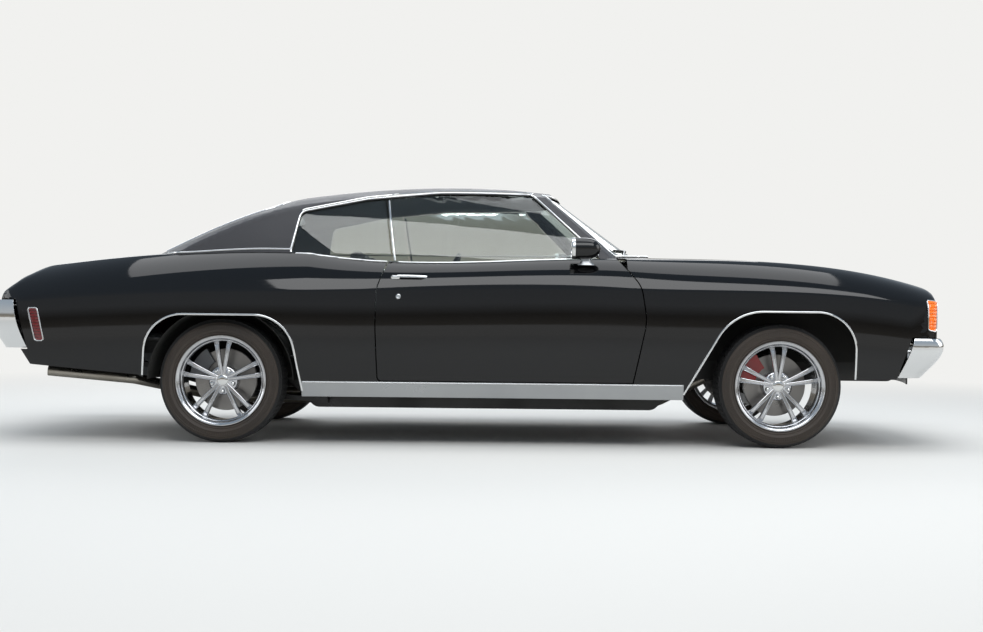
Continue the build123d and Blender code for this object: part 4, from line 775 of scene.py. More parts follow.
    @staticmethod
    def polygon(u: np.ndarray, v: np.ndarray, corners: tuple) -> np.ndarray:
        """Distance outside a convex outline with rounded corners.

        Args:
            u: first coordinate of the points.
            v: second coordinate.
            corners: u, v and radius of each corner.

        Returns:
            The distances, negative inside.
        """
        pts = np.array([c[:2] for c in corners], float)
        area = np.sum(pts[:, 0] * np.roll(pts[:, 1], -1) - pts[:, 1] * np.roll(pts[:, 0], -1))
        sign = 1.0 if area > 0 else -1.0
        best = np.full(len(u), -1e9)
        normals = []
        for i in range(len(pts)):
            d = pts[(i + 1) % len(pts)] - pts[i]
            n = np.array([d[1], -d[0]]) * sign / np.hypot(*d)
            normals.append(n)
            best = np.maximum(best, (u - pts[i, 0]) * n[0] + (v - pts[i, 1]) * n[1])
        for i, (cu, cv, radius) in enumerate(corners):
            if not radius:
                continue
            n0, n1 = normals[i - 1], normals[i]
            if n0[0] * n1[1] * sign - n0[1] * n1[0] * sign <= 0:
                continue
            middle = np.array([cu, cv]) - radius * (n0 + n1) / (1 + n0 @ n1)
            du, dv = u - middle[0], v - middle[1]
            inside = ((n0[0] * dv - n0[1] * du) * sign > 0) & ((du * n1[1] - dv * n1[0]) * sign > 0)
            near = inside & (du * (n0[0] + n1[0]) + dv * (n0[1] + n1[1]) > 0)
            best = np.where(near, np.hypot(du, dv) - radius, best)
        return best

    def outside(self, p: np.ndarray, soften: float) -> np.ndarray:
        """Distance outside the trimmed body, its trimmed edges rounded over.

        Args:
            p: points as rows of x, y, z in mm.
            soften: width over which two faces run into each other; 0 keeps the edge sharp.

        Returns:
            The distances, negative inside.
        """
        made = self.section(p)
        for other in (self.polygon(p[:, 0], p[:, 2], self.side_view),
                      self.polygon(p[:, 0], p[:, 1], self.plan_view)):
            if soften:
                blend = np.maximum(soften - np.abs(made - other), 0) / soften
                made = np.maximum(made, other) + blend ** 2 * soften / 4
            else:
                made = np.maximum(made, other)
        return made

    def slope(self, p: np.ndarray, soften: float) -> np.ndarray:
        """Finds the direction in which the distance grows fastest, which is the skin's normal.

        Args:
            p: points as rows of x, y, z in mm.
            soften: as in outside.

        Returns:
            Unit directions, one row a point.
        """
        made = np.zeros_like(p)
        for k, far in enumerate(self.slope_reach):
            step = np.zeros(3)
            step[k] = far
            made[:, k] = (self.outside(p + step, soften) - self.outside(p - step, soften)) / (2 * far)
        return made / np.maximum(np.linalg.norm(made, axis=1, keepdims=True), 1e-9)


@dataclass
class PaintedPanels:
    """Steel panels with the body's smooth surface and folded edges.

    Vertices within skin_mm of the sharp form are moved onto the softened one, but by reach_mm at most.
    """

    form: BodyForm = field(default_factory=BodyForm)
    nodes: tuple[str, ...] = ("fender_right", "fender_left", "quarter_right", "quarter_left", "hood",
                              "deck_lid", "door_right", "door_left", "nose_panel", "tail_panel")
    edge_mm: float = 34.0
    skin_mm: float = 1.2
    reach_mm: float = 12.0
    same_way: float = 0.5
    sharp_degrees: float = 28.0

    def refine(self, node: str) -> bpy.types.Object:
        """Copies a panel, with fine faces that follow the body's form.

        Args:
            node: the CAD node.

        Returns:
            The refined piece, painted.
        """
        bm = cad_bmesh(node)
        shorten_edges(bm, self.edge_mm * MM)
        bmesh.ops.recalc_face_normals(bm, faces=bm.faces)
        made = smooth(new_piece(f"{node}_skin", bm), self.sharp_degrees)
        mesh = made.data
        co = np.empty(len(mesh.vertices) * 3)
        mesh.vertices.foreach_get("co", co)
        p = co.reshape(-1, 3) / MM
        outer = np.abs(self.form.outside(p, 0.0)) < self.skin_mm
        soft = self.form.edge_bend
        start = p[outer].copy()
        for _ in range(2):
            gap = self.form.outside(p[outer], soft)
            p[outer] -= self.form.slope(p[outer], soft) * gap[:, None]
        far = np.linalg.norm(p[outer] - start, axis=1) > self.reach_mm
        p[np.flatnonzero(outer)[far]] = start[far]
        mesh.vertices.foreach_set("co", (p * MM).reshape(-1))
        mesh.update()
        slopes = np.zeros_like(p)
        slopes[outer] = self.form.slope(p[outer], soft)
        self.set_normals(mesh, slopes, outer)
        return dress(made, PAINT)

    def set_normals(self, mesh: bpy.types.Mesh, slopes: np.ndarray, outer: np.ndarray) -> None:
        """Gives the outer face the form's own normals and leaves the folds as they are.

        Args:
            mesh: a panel's mesh, all triangles.
            slopes: the form's normal at each vertex.
            outer: which vertices lie on the outer face.
        """
        loops = np.empty(len(mesh.loops), int)
        mesh.loops.foreach_get("vertex_index", loops)
        faces = np.empty((len(mesh.polygons), 3))
        mesh.polygons.foreach_get("normal", faces.ravel())
        current = np.empty((len(mesh.loops), 3))
        mesh.corner_normals.foreach_get("vector", current.ravel())
        wanted = slopes[loops]
        facing = np.einsum("ij,ij->i", wanted, faces.repeat(3, axis=0))
        agrees = outer[loops] & (facing > self.same_way)
        whole = agrees.reshape(-1, 3).all(axis=1).repeat(3)
        current[whole] = wanted[whole]
        mesh.normals_split_custom_set(current.tolist())

    def build(self) -> None:
        """Refines, dresses and places every panel."""
        for node in self.nodes:
            settle(self.refine(node), BODY_OF[node], node)


# ------------------------ plain copies of rigid nodes
@dataclass
class RigidPieces:
    """Rigid parts whose CAD shape is right, with their edges rounded.

    A row of table is a node, its finish and the width of its rounded edges in mm.
    """

    sharp_degrees: float = 28.0
    table: tuple = (
        ("frame", CHASSIS, 3.0), ("wheel_tubs", UNDERSEAL, 0.0), ("cowl", CHASSIS, 0.0),
        ("deck_bridge", PAINT, 0.0), ("front_valance", CHASSIS, 1.0), ("rear_valance", CHASSIS, 1.0),
        ("front_bumper", CHROME, 2.0), ("rear_bumper", CHROME, 2.0), ("sills", SATIN, 0.0),
        # The fuel tank's finish carries painted shade: its grey is darkened for its place under the car
        ("exhausts", EXHAUST, 0.8), ("fuel_tank", SHADED_TANK, 14.0), ("radiator", GRILLE_BLACK, 4.0),
        ("engine", ENGINE_PAINT, 12.0), ("windscreen", GLASS, 0.0), ("backlight", GLASS, 0.0),
        ("quarter_glass", GLASS, 0.0), ("door_glass_right", GLASS, 0.0), ("door_glass_left", GLASS, 0.0),
        ("steering_column", TRIM_PLASTIC, 1.5))

    def copy(self, node: str, finish: Finish, round_mm: float) -> bpy.types.Object:
        """Copies a node with joined, smooth faces and rounded edges.

        Args:
            node: the CAD node.
            finish: its material.
            round_mm: width of the rounding; 0 leaves the edges as they are.

        Returns:
            The copy.
        """
        made = smooth(new_piece(f"{node}_dressed", cad_bmesh(node)), self.sharp_degrees)
        if round_mm:
            bevelled(made, round_mm)
        return dress(made, finish)

    def build(self) -> None:
        """Copies and places every rigid piece."""
        for node, finish, round_mm in self.table:
            settle(self.copy(node, finish, round_mm), BODY_OF[node], node)


# ------------------------ roof
@dataclass
class VinylRoof:
    """Padded vinyl roof outside, cloth headliner inside.

    A face is headliner where it points down by inner_tilt, or towards middle, in metres, by side_tilt.
    """

    edge_mm: float = 40.0
    inner_tilt: float = -0.15
    side_tilt: float = 0.35
    middle: Point = (-0.3, 0.0, 1.0)

    def build(self) -> None:
        """Copies the roof and parts its skin into vinyl and headliner."""
        bm = cad_bmesh("roof")
        shorten_edges(bm, self.edge_mm * MM)
        made = smooth(new_piece("vinyl_roof_skin", bm), 30)
        dress(made, ROOF_VINYL, HEADLINER)
        for face in made.data.polygons:
            inwards = (Vector(self.middle) - face.center).normalized()
            faces_in = face.normal.dot(inwards) > self.side_tilt
            if face.normal.z < self.inner_tilt or faces_in:
                face.material_index = 1
        settle(made, "body", "roof")


# ------------------------ bright trim
def rounded_outline(rows: Sequence[tuple[float, float, float]], grow: float = 0.0,
                    step: float = 12.0) -> list[tuple[float, float]]:
    """Samples an outline with rounded corners, moved outwards.

    Args:
        rows: u, v and radius of each corner, in mm; the outline closes on itself.
        grow: distance outwards.
        step: greatest distance between points.

    Returns:
        Points in order from the first corner.
    """
    pts = [np.array(r[:2], float) for r in rows]
    count = len(pts)
    area = sum(pts[i - 1][0] * pts[i][1] - pts[i - 1][1] * pts[i][0] for i in range(count))
    sign = 1.0 if area > 0 else -1.0
    made: list[np.ndarray] = []
    for i in range(count):
        a, b, c = pts[i - 1], pts[i], pts[(i + 1) % count]
        d0, d1 = (b - a) / np.hypot(*(b - a)), (c - b) / np.hypot(*(c - b))
        turn = d0[0] * d1[1] - d0[1] * d1[0]
        n0 = np.array([d0[1], -d0[0]]) * sign
        n1 = np.array([d1[1], -d1[0]]) * sign
        convex = turn * sign > 0
        radius = rows[i][2]
        if radius < 1 or abs(turn) < 1e-6:
            made.append(b + (n0 + n1) / (1 + n0 @ n1) * grow)
            continue
        tangent = radius * math.tan(abs(math.atan2(turn, d0 @ d1)) / 2)
        start = b - d0 * tangent
        centre = start - n0 * radius if convex else start + n0 * radius
        reach = radius + grow if convex else radius - grow
        first = math.atan2(*(n0 if convex else -n0)[::-1])
        swing = math.atan2(turn, d0 @ d1)
        pieces = max(2, math.ceil(abs(swing) * radius / step))
        for j in range(pieces + 1):
            angle = first + swing * j / pieces
            made.append(centre + reach * np.array([math.cos(angle), math.sin(angle)]))
    filled: list[tuple[float, float]] = []
    for i, here in enumerate(made):
        there = made[(i + 1) % len(made)]
        pieces = max(1, math.ceil(np.hypot(*(there - here)) / step))
        filled += [tuple(here + (there - here) * j / pieces) for j in range(pieces)]
    return filled


def opened(ring: Sequence[tuple[float, float]]) -> list[tuple[float, float]]:
    """Starts a ring of points after its widest gap, which makes it an open run.

    Args:
        ring: points of which a stretch was left out.

    Returns:
        The same points in order along the run.
    """
    start = max(range(len(ring)), key=lambda i: math.dist(ring[i], ring[i - 1]))
    return [*ring[start:], *ring[:start]]


class Skin:
    """Outer faces of CAD nodes that trim lies on."""

    away_mm = 1500.0
    above_mm = 1800.0

    def __init__(self, *nodes: str) -> None:
        """Joins the nodes' meshes into one search tree.

        Args:
            nodes: the CAD nodes' names.
        """
        bm = bmesh.new()
        for node in nodes:
            bm.from_mesh(frame["nodes"][node].data)
        self.tree = BVHTree.FromBMesh(bm)
        bm.free()

    def hit(self, start: Point, way: Point) -> tuple[Vector, Vector] | None:
        """First face met by a ray.

        Args:
            start: the ray's start in mm.
            way: its direction.

        Returns:
            Place in metres and outward normal, or None where nothing is met.
        """
        place, normal, _, _ = self.tree.ray_cast(Vector(start) * MM, Vector(way))
        if place is None:
            return None
        return place, normal if normal.dot(Vector(way)) < 0 else -normal

    def side(self, x: float, z: float, side: int) -> tuple[Vector, Vector] | None:
        """Face met from beside the car, at x and z in mm."""
        return self.hit((x, side * self.away_mm, z), (0, -side, 0))

    def top(self, x: float, y: float) -> tuple[Vector, Vector] | None:
        """Face met from above, at x and y in mm."""
        return self.hit((x, y, self.above_mm), (0, 0, -1))

    def front(self, y: float, z: float, start: float = away_mm) -> tuple[Vector, Vector] | None:
        """Face met from ahead, at y and z, by a ray that starts at an x; all in mm."""
        return self.hit((start, y, z), (-1, 0, 0))


# Sections of mouldings in mm, across the run and out from the surface
HALF_ROUND = [(-5, -1), (-4.6, 1.6), (-3, 3.4), (0, 4.2), (3, 3.4), (4.6, 1.6), (5, -1)]
LIP = [(-5, -1), (-4.6, 0.6), (-3, 1.7), (0, 2.2), (3, 1.7), (4.6, 0.6), (5, -1)]
NARROW = [(-3.2, -1), (-3, 1.2), (-1.8, 2.6), (0, 3.0), (1.8, 2.6), (3, 1.2), (3.2, -1)]
GUTTER = [(-2.5, -1), (-2.5, 5), (-1, 8.5), (1, 9), (3, 7.5), (3.4, 4), (2, 2), (2, -1)]


def both_sides(*makers: Callable[[int, str], None]) -> None:
    """Calls each maker for the left side and then for the right one.

    Args:
        makers: methods that take a side's sign and its word.
    """
    for maker in makers:
        for side, word in FLANKS:
            maker(side, word)


def moulding(name: str, found: Sequence[tuple[Vector, Vector] | None], section: list,
             body: str = "body", step: float = 0.012) -> bpy.types.Object:
    """Lays a chrome moulding along places on a surface.

    Args:
        name: the moulding's name.
        found: place and normal of each point; misses are left out.
        section: its cross section in mm.
        body: the body it rides on.
        step: distance between its sections, in metres.

    Returns:
        The moulding.
    """
    known = [f for f in found if f is not None]
    places = [place for place, _ in known]
    path = resampled(places, step)
    lengths = np.cumsum([0.0] + [(b - a).length for a, b in zip(places, places[1:])])
    shares = np.linspace(0, lengths[-1], len(path))
    table = np.array([tuple(normal) for _, normal in known])
    for _ in range(3):
        table[1:-1] = (table[:-2] + table[1:-1] * 2 + table[2:]) / 4
    normals = [Vector([float(np.interp(s, lengths, table[:, k])) for k in range(3)]).normalized()
               for s in shares]
    bm = bmesh.new()
    sweep(bm, path, section, normals)
    return settle(dress(smooth(new_piece(name, outwards(bm)), 50), CHROME), body)


@dataclass
class BrightTrim:
    """Mouldings round the glass, along the belt, over the wheels and on the sills.

    Outlines are corners in mm with the radius that rounds each; a moulding runs where its outline lies
    above the height, or within the lengths, that the fields named for it give.
    """

    side_window: tuple = ((285, 1300, 20), (-190, 1297, 400), (-560, 1258, 300), (-905, 1186, 40),
                          (-945, 985, 25), (-900, 860, 0), (745, 860, 0))
    screen: tuple = ((-722, 930, 50), (-548, 1298, 60), (548, 1298, 60), (722, 930, 50))
    backlight: tuple = ((-1050, 545, 80), (-1050, -545, 80), (-1800, -628, 0), (-1800, 628, 0))
    arches_of: tuple = (
        ("fender", 1555.5, ((362, 150, 0), (366, 690, 190), (-250, 690, 260), (-560, 150, 0))),
        ("quarter", -1289.5, ((-395, 150, 0), (-362, 648, 190), (340, 648, 200), (440, 150, 0))))
    arch_low: float = 262.0
    reveal_low: float = 960.0
    reveal_front: float = 640.0
    rail_low: float = 1192.0
    rail_ends: tuple[float, float] = (-930.0, 300.0)
    screen_low: float = 965.0
    backlight_rear: float = -1640.0
    belts: tuple = (("door", (-395, 640)), ("quarter", (-925, -408)))
    belt_z: float = 985.0
    belt_out: tuple[int, int, int] = (9, 60, 3)
    vinyl_edge: tuple = ((-1600, 968), (-1538, 969), (-1434, 974), (-1278, 985), (-1122, 992), (-952, 992))
    split: tuple = ((-474, 1310), (-414, 860))
    split_inset: float = 10.0
    split_ends: tuple[float, float] = (938.0, 1256.0)
    sill_z: float = 316.0
    sill_ends: tuple[float, float] = (-866.0, 1052.0)

    def arches(self, side: int, word: str) -> None:
        """Lips over the wheel openings of one side.

        Args:
            side: 1 left, -1 right.
            word: left or right.
        """
        for node, middle, rows in self.arches_of:
            skin = Skin(f"{node}_{word}", "sills")
            ring = rounded_outline([(u + middle, v, r) for u, v, r in rows], 4.5)
            run = opened([p for p in ring if p[1] > self.arch_low])
            moulding(f"{node}_{word}_arch_lip", [skin.side(x, z, side) for x, z in run], LIP)

    def windows(self, side: int, word: str) -> None:
        """Reveal moulding and drip rail round the windows of one side.

        Args:
            side: 1 left, -1 right.
            word: left or right.
        """
        skin = Skin("roof")
        ring = rounded_outline(self.side_window, 7.0)
        run = opened([p for p in ring if p[1] > self.reveal_low and p[0] < self.reveal_front])
        moulding(f"window_reveal_{word}", [skin.side(x, z, side) for x, z in run], HALF_ROUND)
        rear, front = self.rail_ends
        ring = rounded_outline(self.side_window, 12.5)
        run = opened([p for p in ring if p[1] > self.rail_low and rear < p[0] < front])
        moulding(f"drip_rail_{word}", [skin.side(x, z, side) for x, z in run], GUTTER)

    def screens(self) -> None:
        """Reveal mouldings round the windscreen and the backlight."""
        skin = Skin("roof")
        run = opened([p for p in rounded_outline(self.screen, 8.0) if p[1] > self.screen_low])
        moulding("windscreen_reveal", [skin.front(y, z) for y, z in run], HALF_ROUND)
        run = opened([p for p in rounded_outline(self.backlight, 8.0) if p[0] > self.backlight_rear])
        moulding("backlight_reveal", [skin.top(x, y) for x, y in run], HALF_ROUND)

    def beside_glass(self, glass: Skin, panel: Skin, x: float, side: int) -> tuple[Vector, Vector] | None:
        """Finds the highest place of a panel just outside the side glass.

        Args:
            glass: the panes of that side.
            panel: the painted panel.
            x: place along the car in mm.
            side: 1 left, -1 right.

        Returns:
            Place and normal, or None where there is no glass or no panel.
        """
        pane = glass.side(x, self.belt_z, side)
        if not pane:
            return None
        inner = abs(pane[0].y / MM)
        tries = [panel.top(x, side * (inner + out)) for out in range(*self.belt_out)]
        return max((t for t in tries if t), key=lambda t: t[0].z, default=None)

    def belt(self, side: int, word: str) -> None:
        """Bright lines along the belt of one side: on the door, on the quarter and under the vinyl.

        Args:
            side: 1 left, -1 right.
            word: left or right.
        """
        glass = Skin(f"door_glass_{word}", "quarter_glass")
        for panel, ends in self.belts:
            node = f"{panel}_{word}"
            skin = Skin(node)
            found = [self.beside_glass(glass, skin, x, side) for x in np.linspace(*ends, 24)]
            moulding(f"{panel}_belt_{word}", found, HALF_ROUND, BODY_OF[node])
        roof = Skin("roof")
        curve = resampled([Vector((x, 0, z)) for x, z in self.vinyl_edge], 25.0)
        moulding(f"vinyl_edge_{word}", [roof.side(p.x, p.z, side) for p in curve], HALF_ROUND)

    def glass_edge(self, side: int, word: str) -> None:
        """Bright channel down the rear edge of one door glass.

        Args:
            side: 1 left, -1 right.
            word: left or right.
        """
        skin = Skin(f"door_glass_{word}")
        (x0, z0), (x1, z1) = self.split
        found = [skin.side(x0 + (x1 - x0) * (z - z0) / (z1 - z0) + self.split_inset, z, side)
                 for z in np.linspace(*self.split_ends, 20)]
        moulding(f"glass_edge_{word}", found, HALF_ROUND, f"door_{word}")

    def sill_bead(self, side: int, word: str) -> None:
        """Bright bead along the top of one sill.

        Args:
            side: 1 left, -1 right.
            word: left or right.
        """
        skin = Skin("sills")
        found = [skin.side(x, self.sill_z, side) for x in np.linspace(*self.sill_ends, 60)]
        moulding(f"sill_bead_{word}", found, NARROW, step=0.03)

    def build(self) -> None:
        """Lays every moulding."""
        both_sides(self.arches, self.windows)
        self.screens()
        both_sides(self.belt, self.glass_edge, self.sill_bead)


# ------------------------ wheels
def loft(bm: bmesh.types.BMesh, rings: Sequence[Sequence[Point]], caps: bool = True) -> None:
    """Joins closed rings of points, all with the same count.

    Args:
        bm: the mesh to add to.
        rings: points in mm.
        caps: whether the first and last ring are filled.
    """
    made = [[bm.verts.new(Vector(p) * MM) for p in ring] for ring in rings]
    for one, two in zip(made, made[1:]):
        for j in range(len(one)):
            k = (j + 1) % len(one)
            bm.faces.new((one[j], one[k], two[k], two[j]))
    if caps:
        bm.faces.new(made[0][::-1])
        bm.faces.new(made[-1])


def polar(radius: float, angle: float, y: float) -> Point:
    """Point about the wheel's axis, its angle measured from the top."""
    return (radius * math.sin(angle), y, radius * math.cos(angle))


@dataclass
class RoadWheel:
    """Tyre with cut tread, split-spoke rim and brake disc.

    Profiles are radius and y in mm, with y out from the middle of the wheel. A row of ribs is the y of a
    rib's two edges and the way its blocks lean; a row of spoke_rings is radius, half width, y of the face
    and depth of one section of a spoke.
    """

    place: str
    middle_x: float
    side: int
    half_track: float = 775.0
    tyre_r: float = 316.0
    spoke_pairs: int = 5
    spoke_lean: float = 9.5
    bolt_circle: float = 57.0
    pitches: int = 68
    wall_r: float = 297.0
    wall_ribs: int = 150
    vanes: int = 40
    tread_base: float = 304.0
    block_share: float = 0.86
    ribs: tuple = ((-98, -66, 1), (-60, -34, -1), (-28, -3, 1), (3, 28, -1), (34, 60, 1), (66, 98, -1))
    spoke_rings: tuple = ((30, 9, 60.5, 20), (58, 9.6, 61.5, 26), (90, 9.8, 64, 27), (130, 10.4, 66.5, 26),
                          (165, 11.2, 66.5, 25), (188, 12.6, 62, 25), (204, 15, 55, 24))

    def turned(self, part: str, profiles: Sequence[list], steps: int, sharp: float,
               finish: Finish) -> bpy.types.Object:
        """Turns profiles about the axle into one piece.

        Args:
            part: the piece's name without the wheel's place.
            profiles: corners of each profile.
            steps: segments of the turn.
            sharp: edges that turn by more degrees than this stay sharp.
            finish: the piece's finish.

        Returns:
            The piece.
        """
        bm = bmesh.new()
        for rows in profiles:
            lathe(bm, rows, steps)
        return dress(smooth(new_piece(f"{part}_{self.place}", outwards(bm)), sharp), finish)

    def tyre(self) -> bpy.types.Object:
        """Turns the carcass with its sidewall rings and rings it with tread blocks.

        Returns:
            The tyre about the y axis, its outside towards +y.
        """
        wall = [(216, 102), (231, 102.6), (233, 104.5), (236, 107), (239, 111.5), (242, 113.2),
                (244.5, 113.0), (245.5, 111.6), (247, 114.6), (252, 118.6), (258, 121.0), (259, 122.2),
                (261, 122.3), (262, 120.6), (280, 119.2), (281.5, 120.8), (284, 120.4), (285, 118.4),
                (292, 114.4), (293, 115.2), (295, 114.2), (296.5, 111.6), (298, 109.6), (303, 105.4),
                (306, 101), (308.5, 94), (308.5, 60)]
        rows = wall + [(308.5, 0)] + [(r, -y) for r, y in reversed(wall)]
        carcass = self.turned("carcass", [rows + rows[:1]], 96, 32, RUBBER)
        dress(carcass, RUBBER, TYRE_WALL)
        for face in carcass.data.polygons:
            if math.hypot(face.center.x, face.center.z) / MM < self.wall_r:
                face.material_index = 1
        bm = bmesh.new()
        block(bm, (-0.9, 119.6, 262), (0.9, 122.9, 280))
        wall_ribs = ringed(new_piece(f"tyre_{self.place}_ribs", outwards(bm)), TYRE_WALL, self.wall_ribs)
        blocks = bmesh.new()
        half = math.pi / self.pitches * self.block_share
        for low, high, lean in self.ribs:
            loft(blocks, [self.tread_ring(y, half, lean * (y - (low + high) / 2) / (high - low) * half * 1.1)
                          for y in (low, (low + high) / 2, high)])
        tread = new_piece(f"tyre_{self.place}_tread", outwards(blocks))
        ringed(tread, RUBBER, self.pitches)
        return joined(f"tyre_{self.place}_dressed", (carcass, tread, wall_ribs))

    def tread_ring(self, y: float, half: float, skew: float) -> list[Point]:
        """Cross section of one tread block, lower near the shoulder of the tyre.

        Args:
            y: place across the tyre.
            half: half the angle that a block takes.
            skew: angle by which the section is turned ahead.

        Returns:
            Its corners.
        """
        top = self.tyre_r - 0.4 - (4.5 if abs(y) > 90 else 0.8 * (y / 66) ** 2)
        ring = ((self.tread_base, -half), (top - 1.2, -half), (top, -half * 0.93), (top, half * 0.93),
                (top - 1.2, half), (self.tread_base, half))
        return [polar(r, a + skew, y) for r, a in ring]

    def spoke(self, bm: bmesh.types.BMesh, angle: float) -> None:
        """Adds one spoke: a grooved face that runs from the hub into the stepped lip.

        Args:
            bm: the mesh to add to.
            angle: the spoke's angle from the top.
        """
        rings = []
        for r, wide, face, deep in self.spoke_rings:
            edge = [(wide - 6, -3), (wide - 4.2, -0.4), (wide - 2.6, 0), (wide - 1.2, -0.8), (wide, -4),
                    (wide, -deep)]
            ring = []
            for u, v in [(-u, v) for u, v in reversed(edge)] + edge:
                x, y, z = polar(r, angle, face + v)
                ring.append((x + u * math.cos(angle), y, z - u * math.sin(angle)))
            rings.append(ring)
        loft(bm, rings)

    def rim(self) -> bpy.types.Object:
        """Builds barrel, lip, hub, spokes, nuts and disc.

        Returns:
            The rim about the y axis, its outside towards +y.
        """
        bm = bmesh.new()
        rows = [(216, 103), (231, 103), (231, 109.5), (229.5, 111), (226.5, 111), (225, 109), (221, 107),
                (215.5, 103), (211, 97), (209, 90), (208, 85), (205.5, 83.5), (201.5, 79), (200.3, 75),
                (200.3, 30), (204, 22), (208, 12), (208, -104), (211, -109.5), (214, -111), (229, -111),
                (231, -109), (231, -103), (216, -103)]
        lathe(bm, rows + rows[:1], 96)
        for pair in range(self.spoke_pairs):
            for lean in (-self.spoke_lean, self.spoke_lean):
                self.spoke(bm, math.radians(pair * 360 / self.spoke_pairs + lean))
        hub = [(0, 52), (30, 52), (38, 52), (44, 51), (66, 46), (72, 43), (75.5, 38), (75.5, 8), (60, -16),
               (0, -17)]
        lathe(bm, hub, 60)
        rim = dress(smooth(new_piece(f"rim_{self.place}_spokes", outwards(bm)), 38), ALLOY)
        cap = self.turned("cap", [[(0, 66), (13, 65.8), (22, 64.8), (26.5, 62.6), (28.5, 60), (31, 60),
                                   (31.5, 58), (31.5, 50)]], 48, 40, CHROME)
        bm = bmesh.new()
        lathe(bm, [(0, 71), (4, 70.6), (7.5, 69), (10.2, 66.5), (10.6, 50), (12.5, 48), (12.5, 42)], 6)
        nut = new_piece(f"rim_{self.place}_nuts", outwards(bm))
        bevelled(nut, 0.8)
        turn = math.pi / self.spoke_pairs
        shift(nut, Matrix.Translation(Vector(polar(self.bolt_circle, turn, 0)) * MM))
        ringed(nut, CHROME, self.spoke_pairs)
        return joined(f"rim_{self.place}_dressed", (rim, cap, nut, self.disc()))

    def disc(self) -> bpy.types.Object:
        """Builds the vented brake disc: two plates on vanes, and its hat.

        Returns:
            The disc, about the same axis as the rim.
        """
        plate = [(92, -40), (158.6, -40), (160, -41), (160, -47.5), (92, -47.5)]
        back = [(92, -64), (92, -56.5), (160, -56.5), (160, -63), (158.6, -64)]
        hat = [(92, -41), (88, -41), (73, -39), (72, -36), (72, -19), (70, -17.6), (20, -17.6), (20, -24),
               (64, -24), (64, -46), (92, -47)]
        plates = self.turned("disc", [rows + rows[:1] for rows in (plate, back, hat)], 72, 35, ROTOR)
        bm = bmesh.new()
        block(bm, (-2, -57, 96), (2, -47, 157))
        vanes = ringed(new_piece(f"rim_{self.place}_vanes", outwards(bm)), ROTOR, self.vanes)
        return joined(f"rim_{self.place}_brake", (plates, vanes))

    def build(self) -> None:
        """Builds the tyre and the rim and stands them in their place."""
        stand = Matrix.Translation((self.middle_x * MM, self.side * self.half_track * MM, self.tyre_r * MM))
        stand = stand @ Matrix.Diagonal((self.side, self.side, 1, 1))
        body = f"wheel_{self.place}"
        settle(shift(self.tyre(), stand), body, f"tyre_{self.place}")
        settle(shift(self.rim(), stand), body, f"rim_{self.place}")


@dataclass
class Wheels:
    """The four wheels with knuckles, calipers and the rear axle.

    A face belongs to a caliper where it lies beyond inner_y, within reach of the axle's line in mm, and
    within the sector of degrees from straight ahead.
    """

    front_x: float = 1555.5
    rear_x: float = -1289.5
    hub_z: float = 316.0
    sector: tuple[float, float] = (121.0, 171.0)
    reach: tuple[float, float] = (99.0, 190.0)
    inner_y: float = 689.6

    def casting(self, node: str, middle_x: float, metal: Finish, caliper: Finish) -> None:
        """Copies a casting and paints the caliper on it.

        Args:
            node: the CAD node that carries the caliper.
            middle_x: x of the wheel's middle.
            metal: the casting's finish.
            caliper: the caliper's finish.
        """
        made = smooth(new_piece(f"{node}_dressed", cad_bmesh(node)), 28)
        bevelled(made, 2.5)
        dress(made, metal, caliper)
        for face in made.data.polygons:
            c = face.center / MM
            r = math.hypot(c.x - middle_x, c.z - self.hub_z)
            angle = math.degrees(math.atan2(c.z - self.hub_z, c.x - middle_x))
            if (abs(c.y) > self.inner_y and self.reach[0] < r < self.reach[1]
                    and self.sector[0] < angle < self.sector[1]):
                face.material_index = 1
        settle(made, BODY_OF[node], node)

    def build(self) -> None:
        """Builds wheels and castings."""
        for side, word in FLANKS:
            RoadWheel(f"front_{word}", self.front_x, side).build()
            RoadWheel(f"rear_{word}", self.rear_x, side).build()
            self.casting(f"knuckle_{word}", self.front_x, IRON, CALIPER_RED)
        self.casting("rear_axle", self.rear_x, CHASSIS, CALIPER_GREY)


# ------------------------ lamps and grille
def facing(rows: Sequence[tuple[float, float]], y: float, z: float, name: str, finish: Finish,
           steps: int = 64, sharp: float = 35.0) -> bpy.types.Object:
    """Turns a profile about an axis along the car.

    Args:
        rows: radius and x of each corner, in mm.
        y: y of the axis.
        z: z of the axis.
        name: the piece's name.
        finish: its material.
        steps: segments.
        sharp: edges that turn by more degrees than this stay sharp.

    Returns:
        The turned piece.
    """
    bm = bmesh.new()
    lathe(bm, rows, steps)
    made = new_piece(name, outwards(bm))
    shift(made, Matrix.Translation(Vector((0, y, z)) * MM) @ Matrix.Rotation(-math.pi / 2, 4, "Z"))
    return dress(smooth(made, sharp), finish)


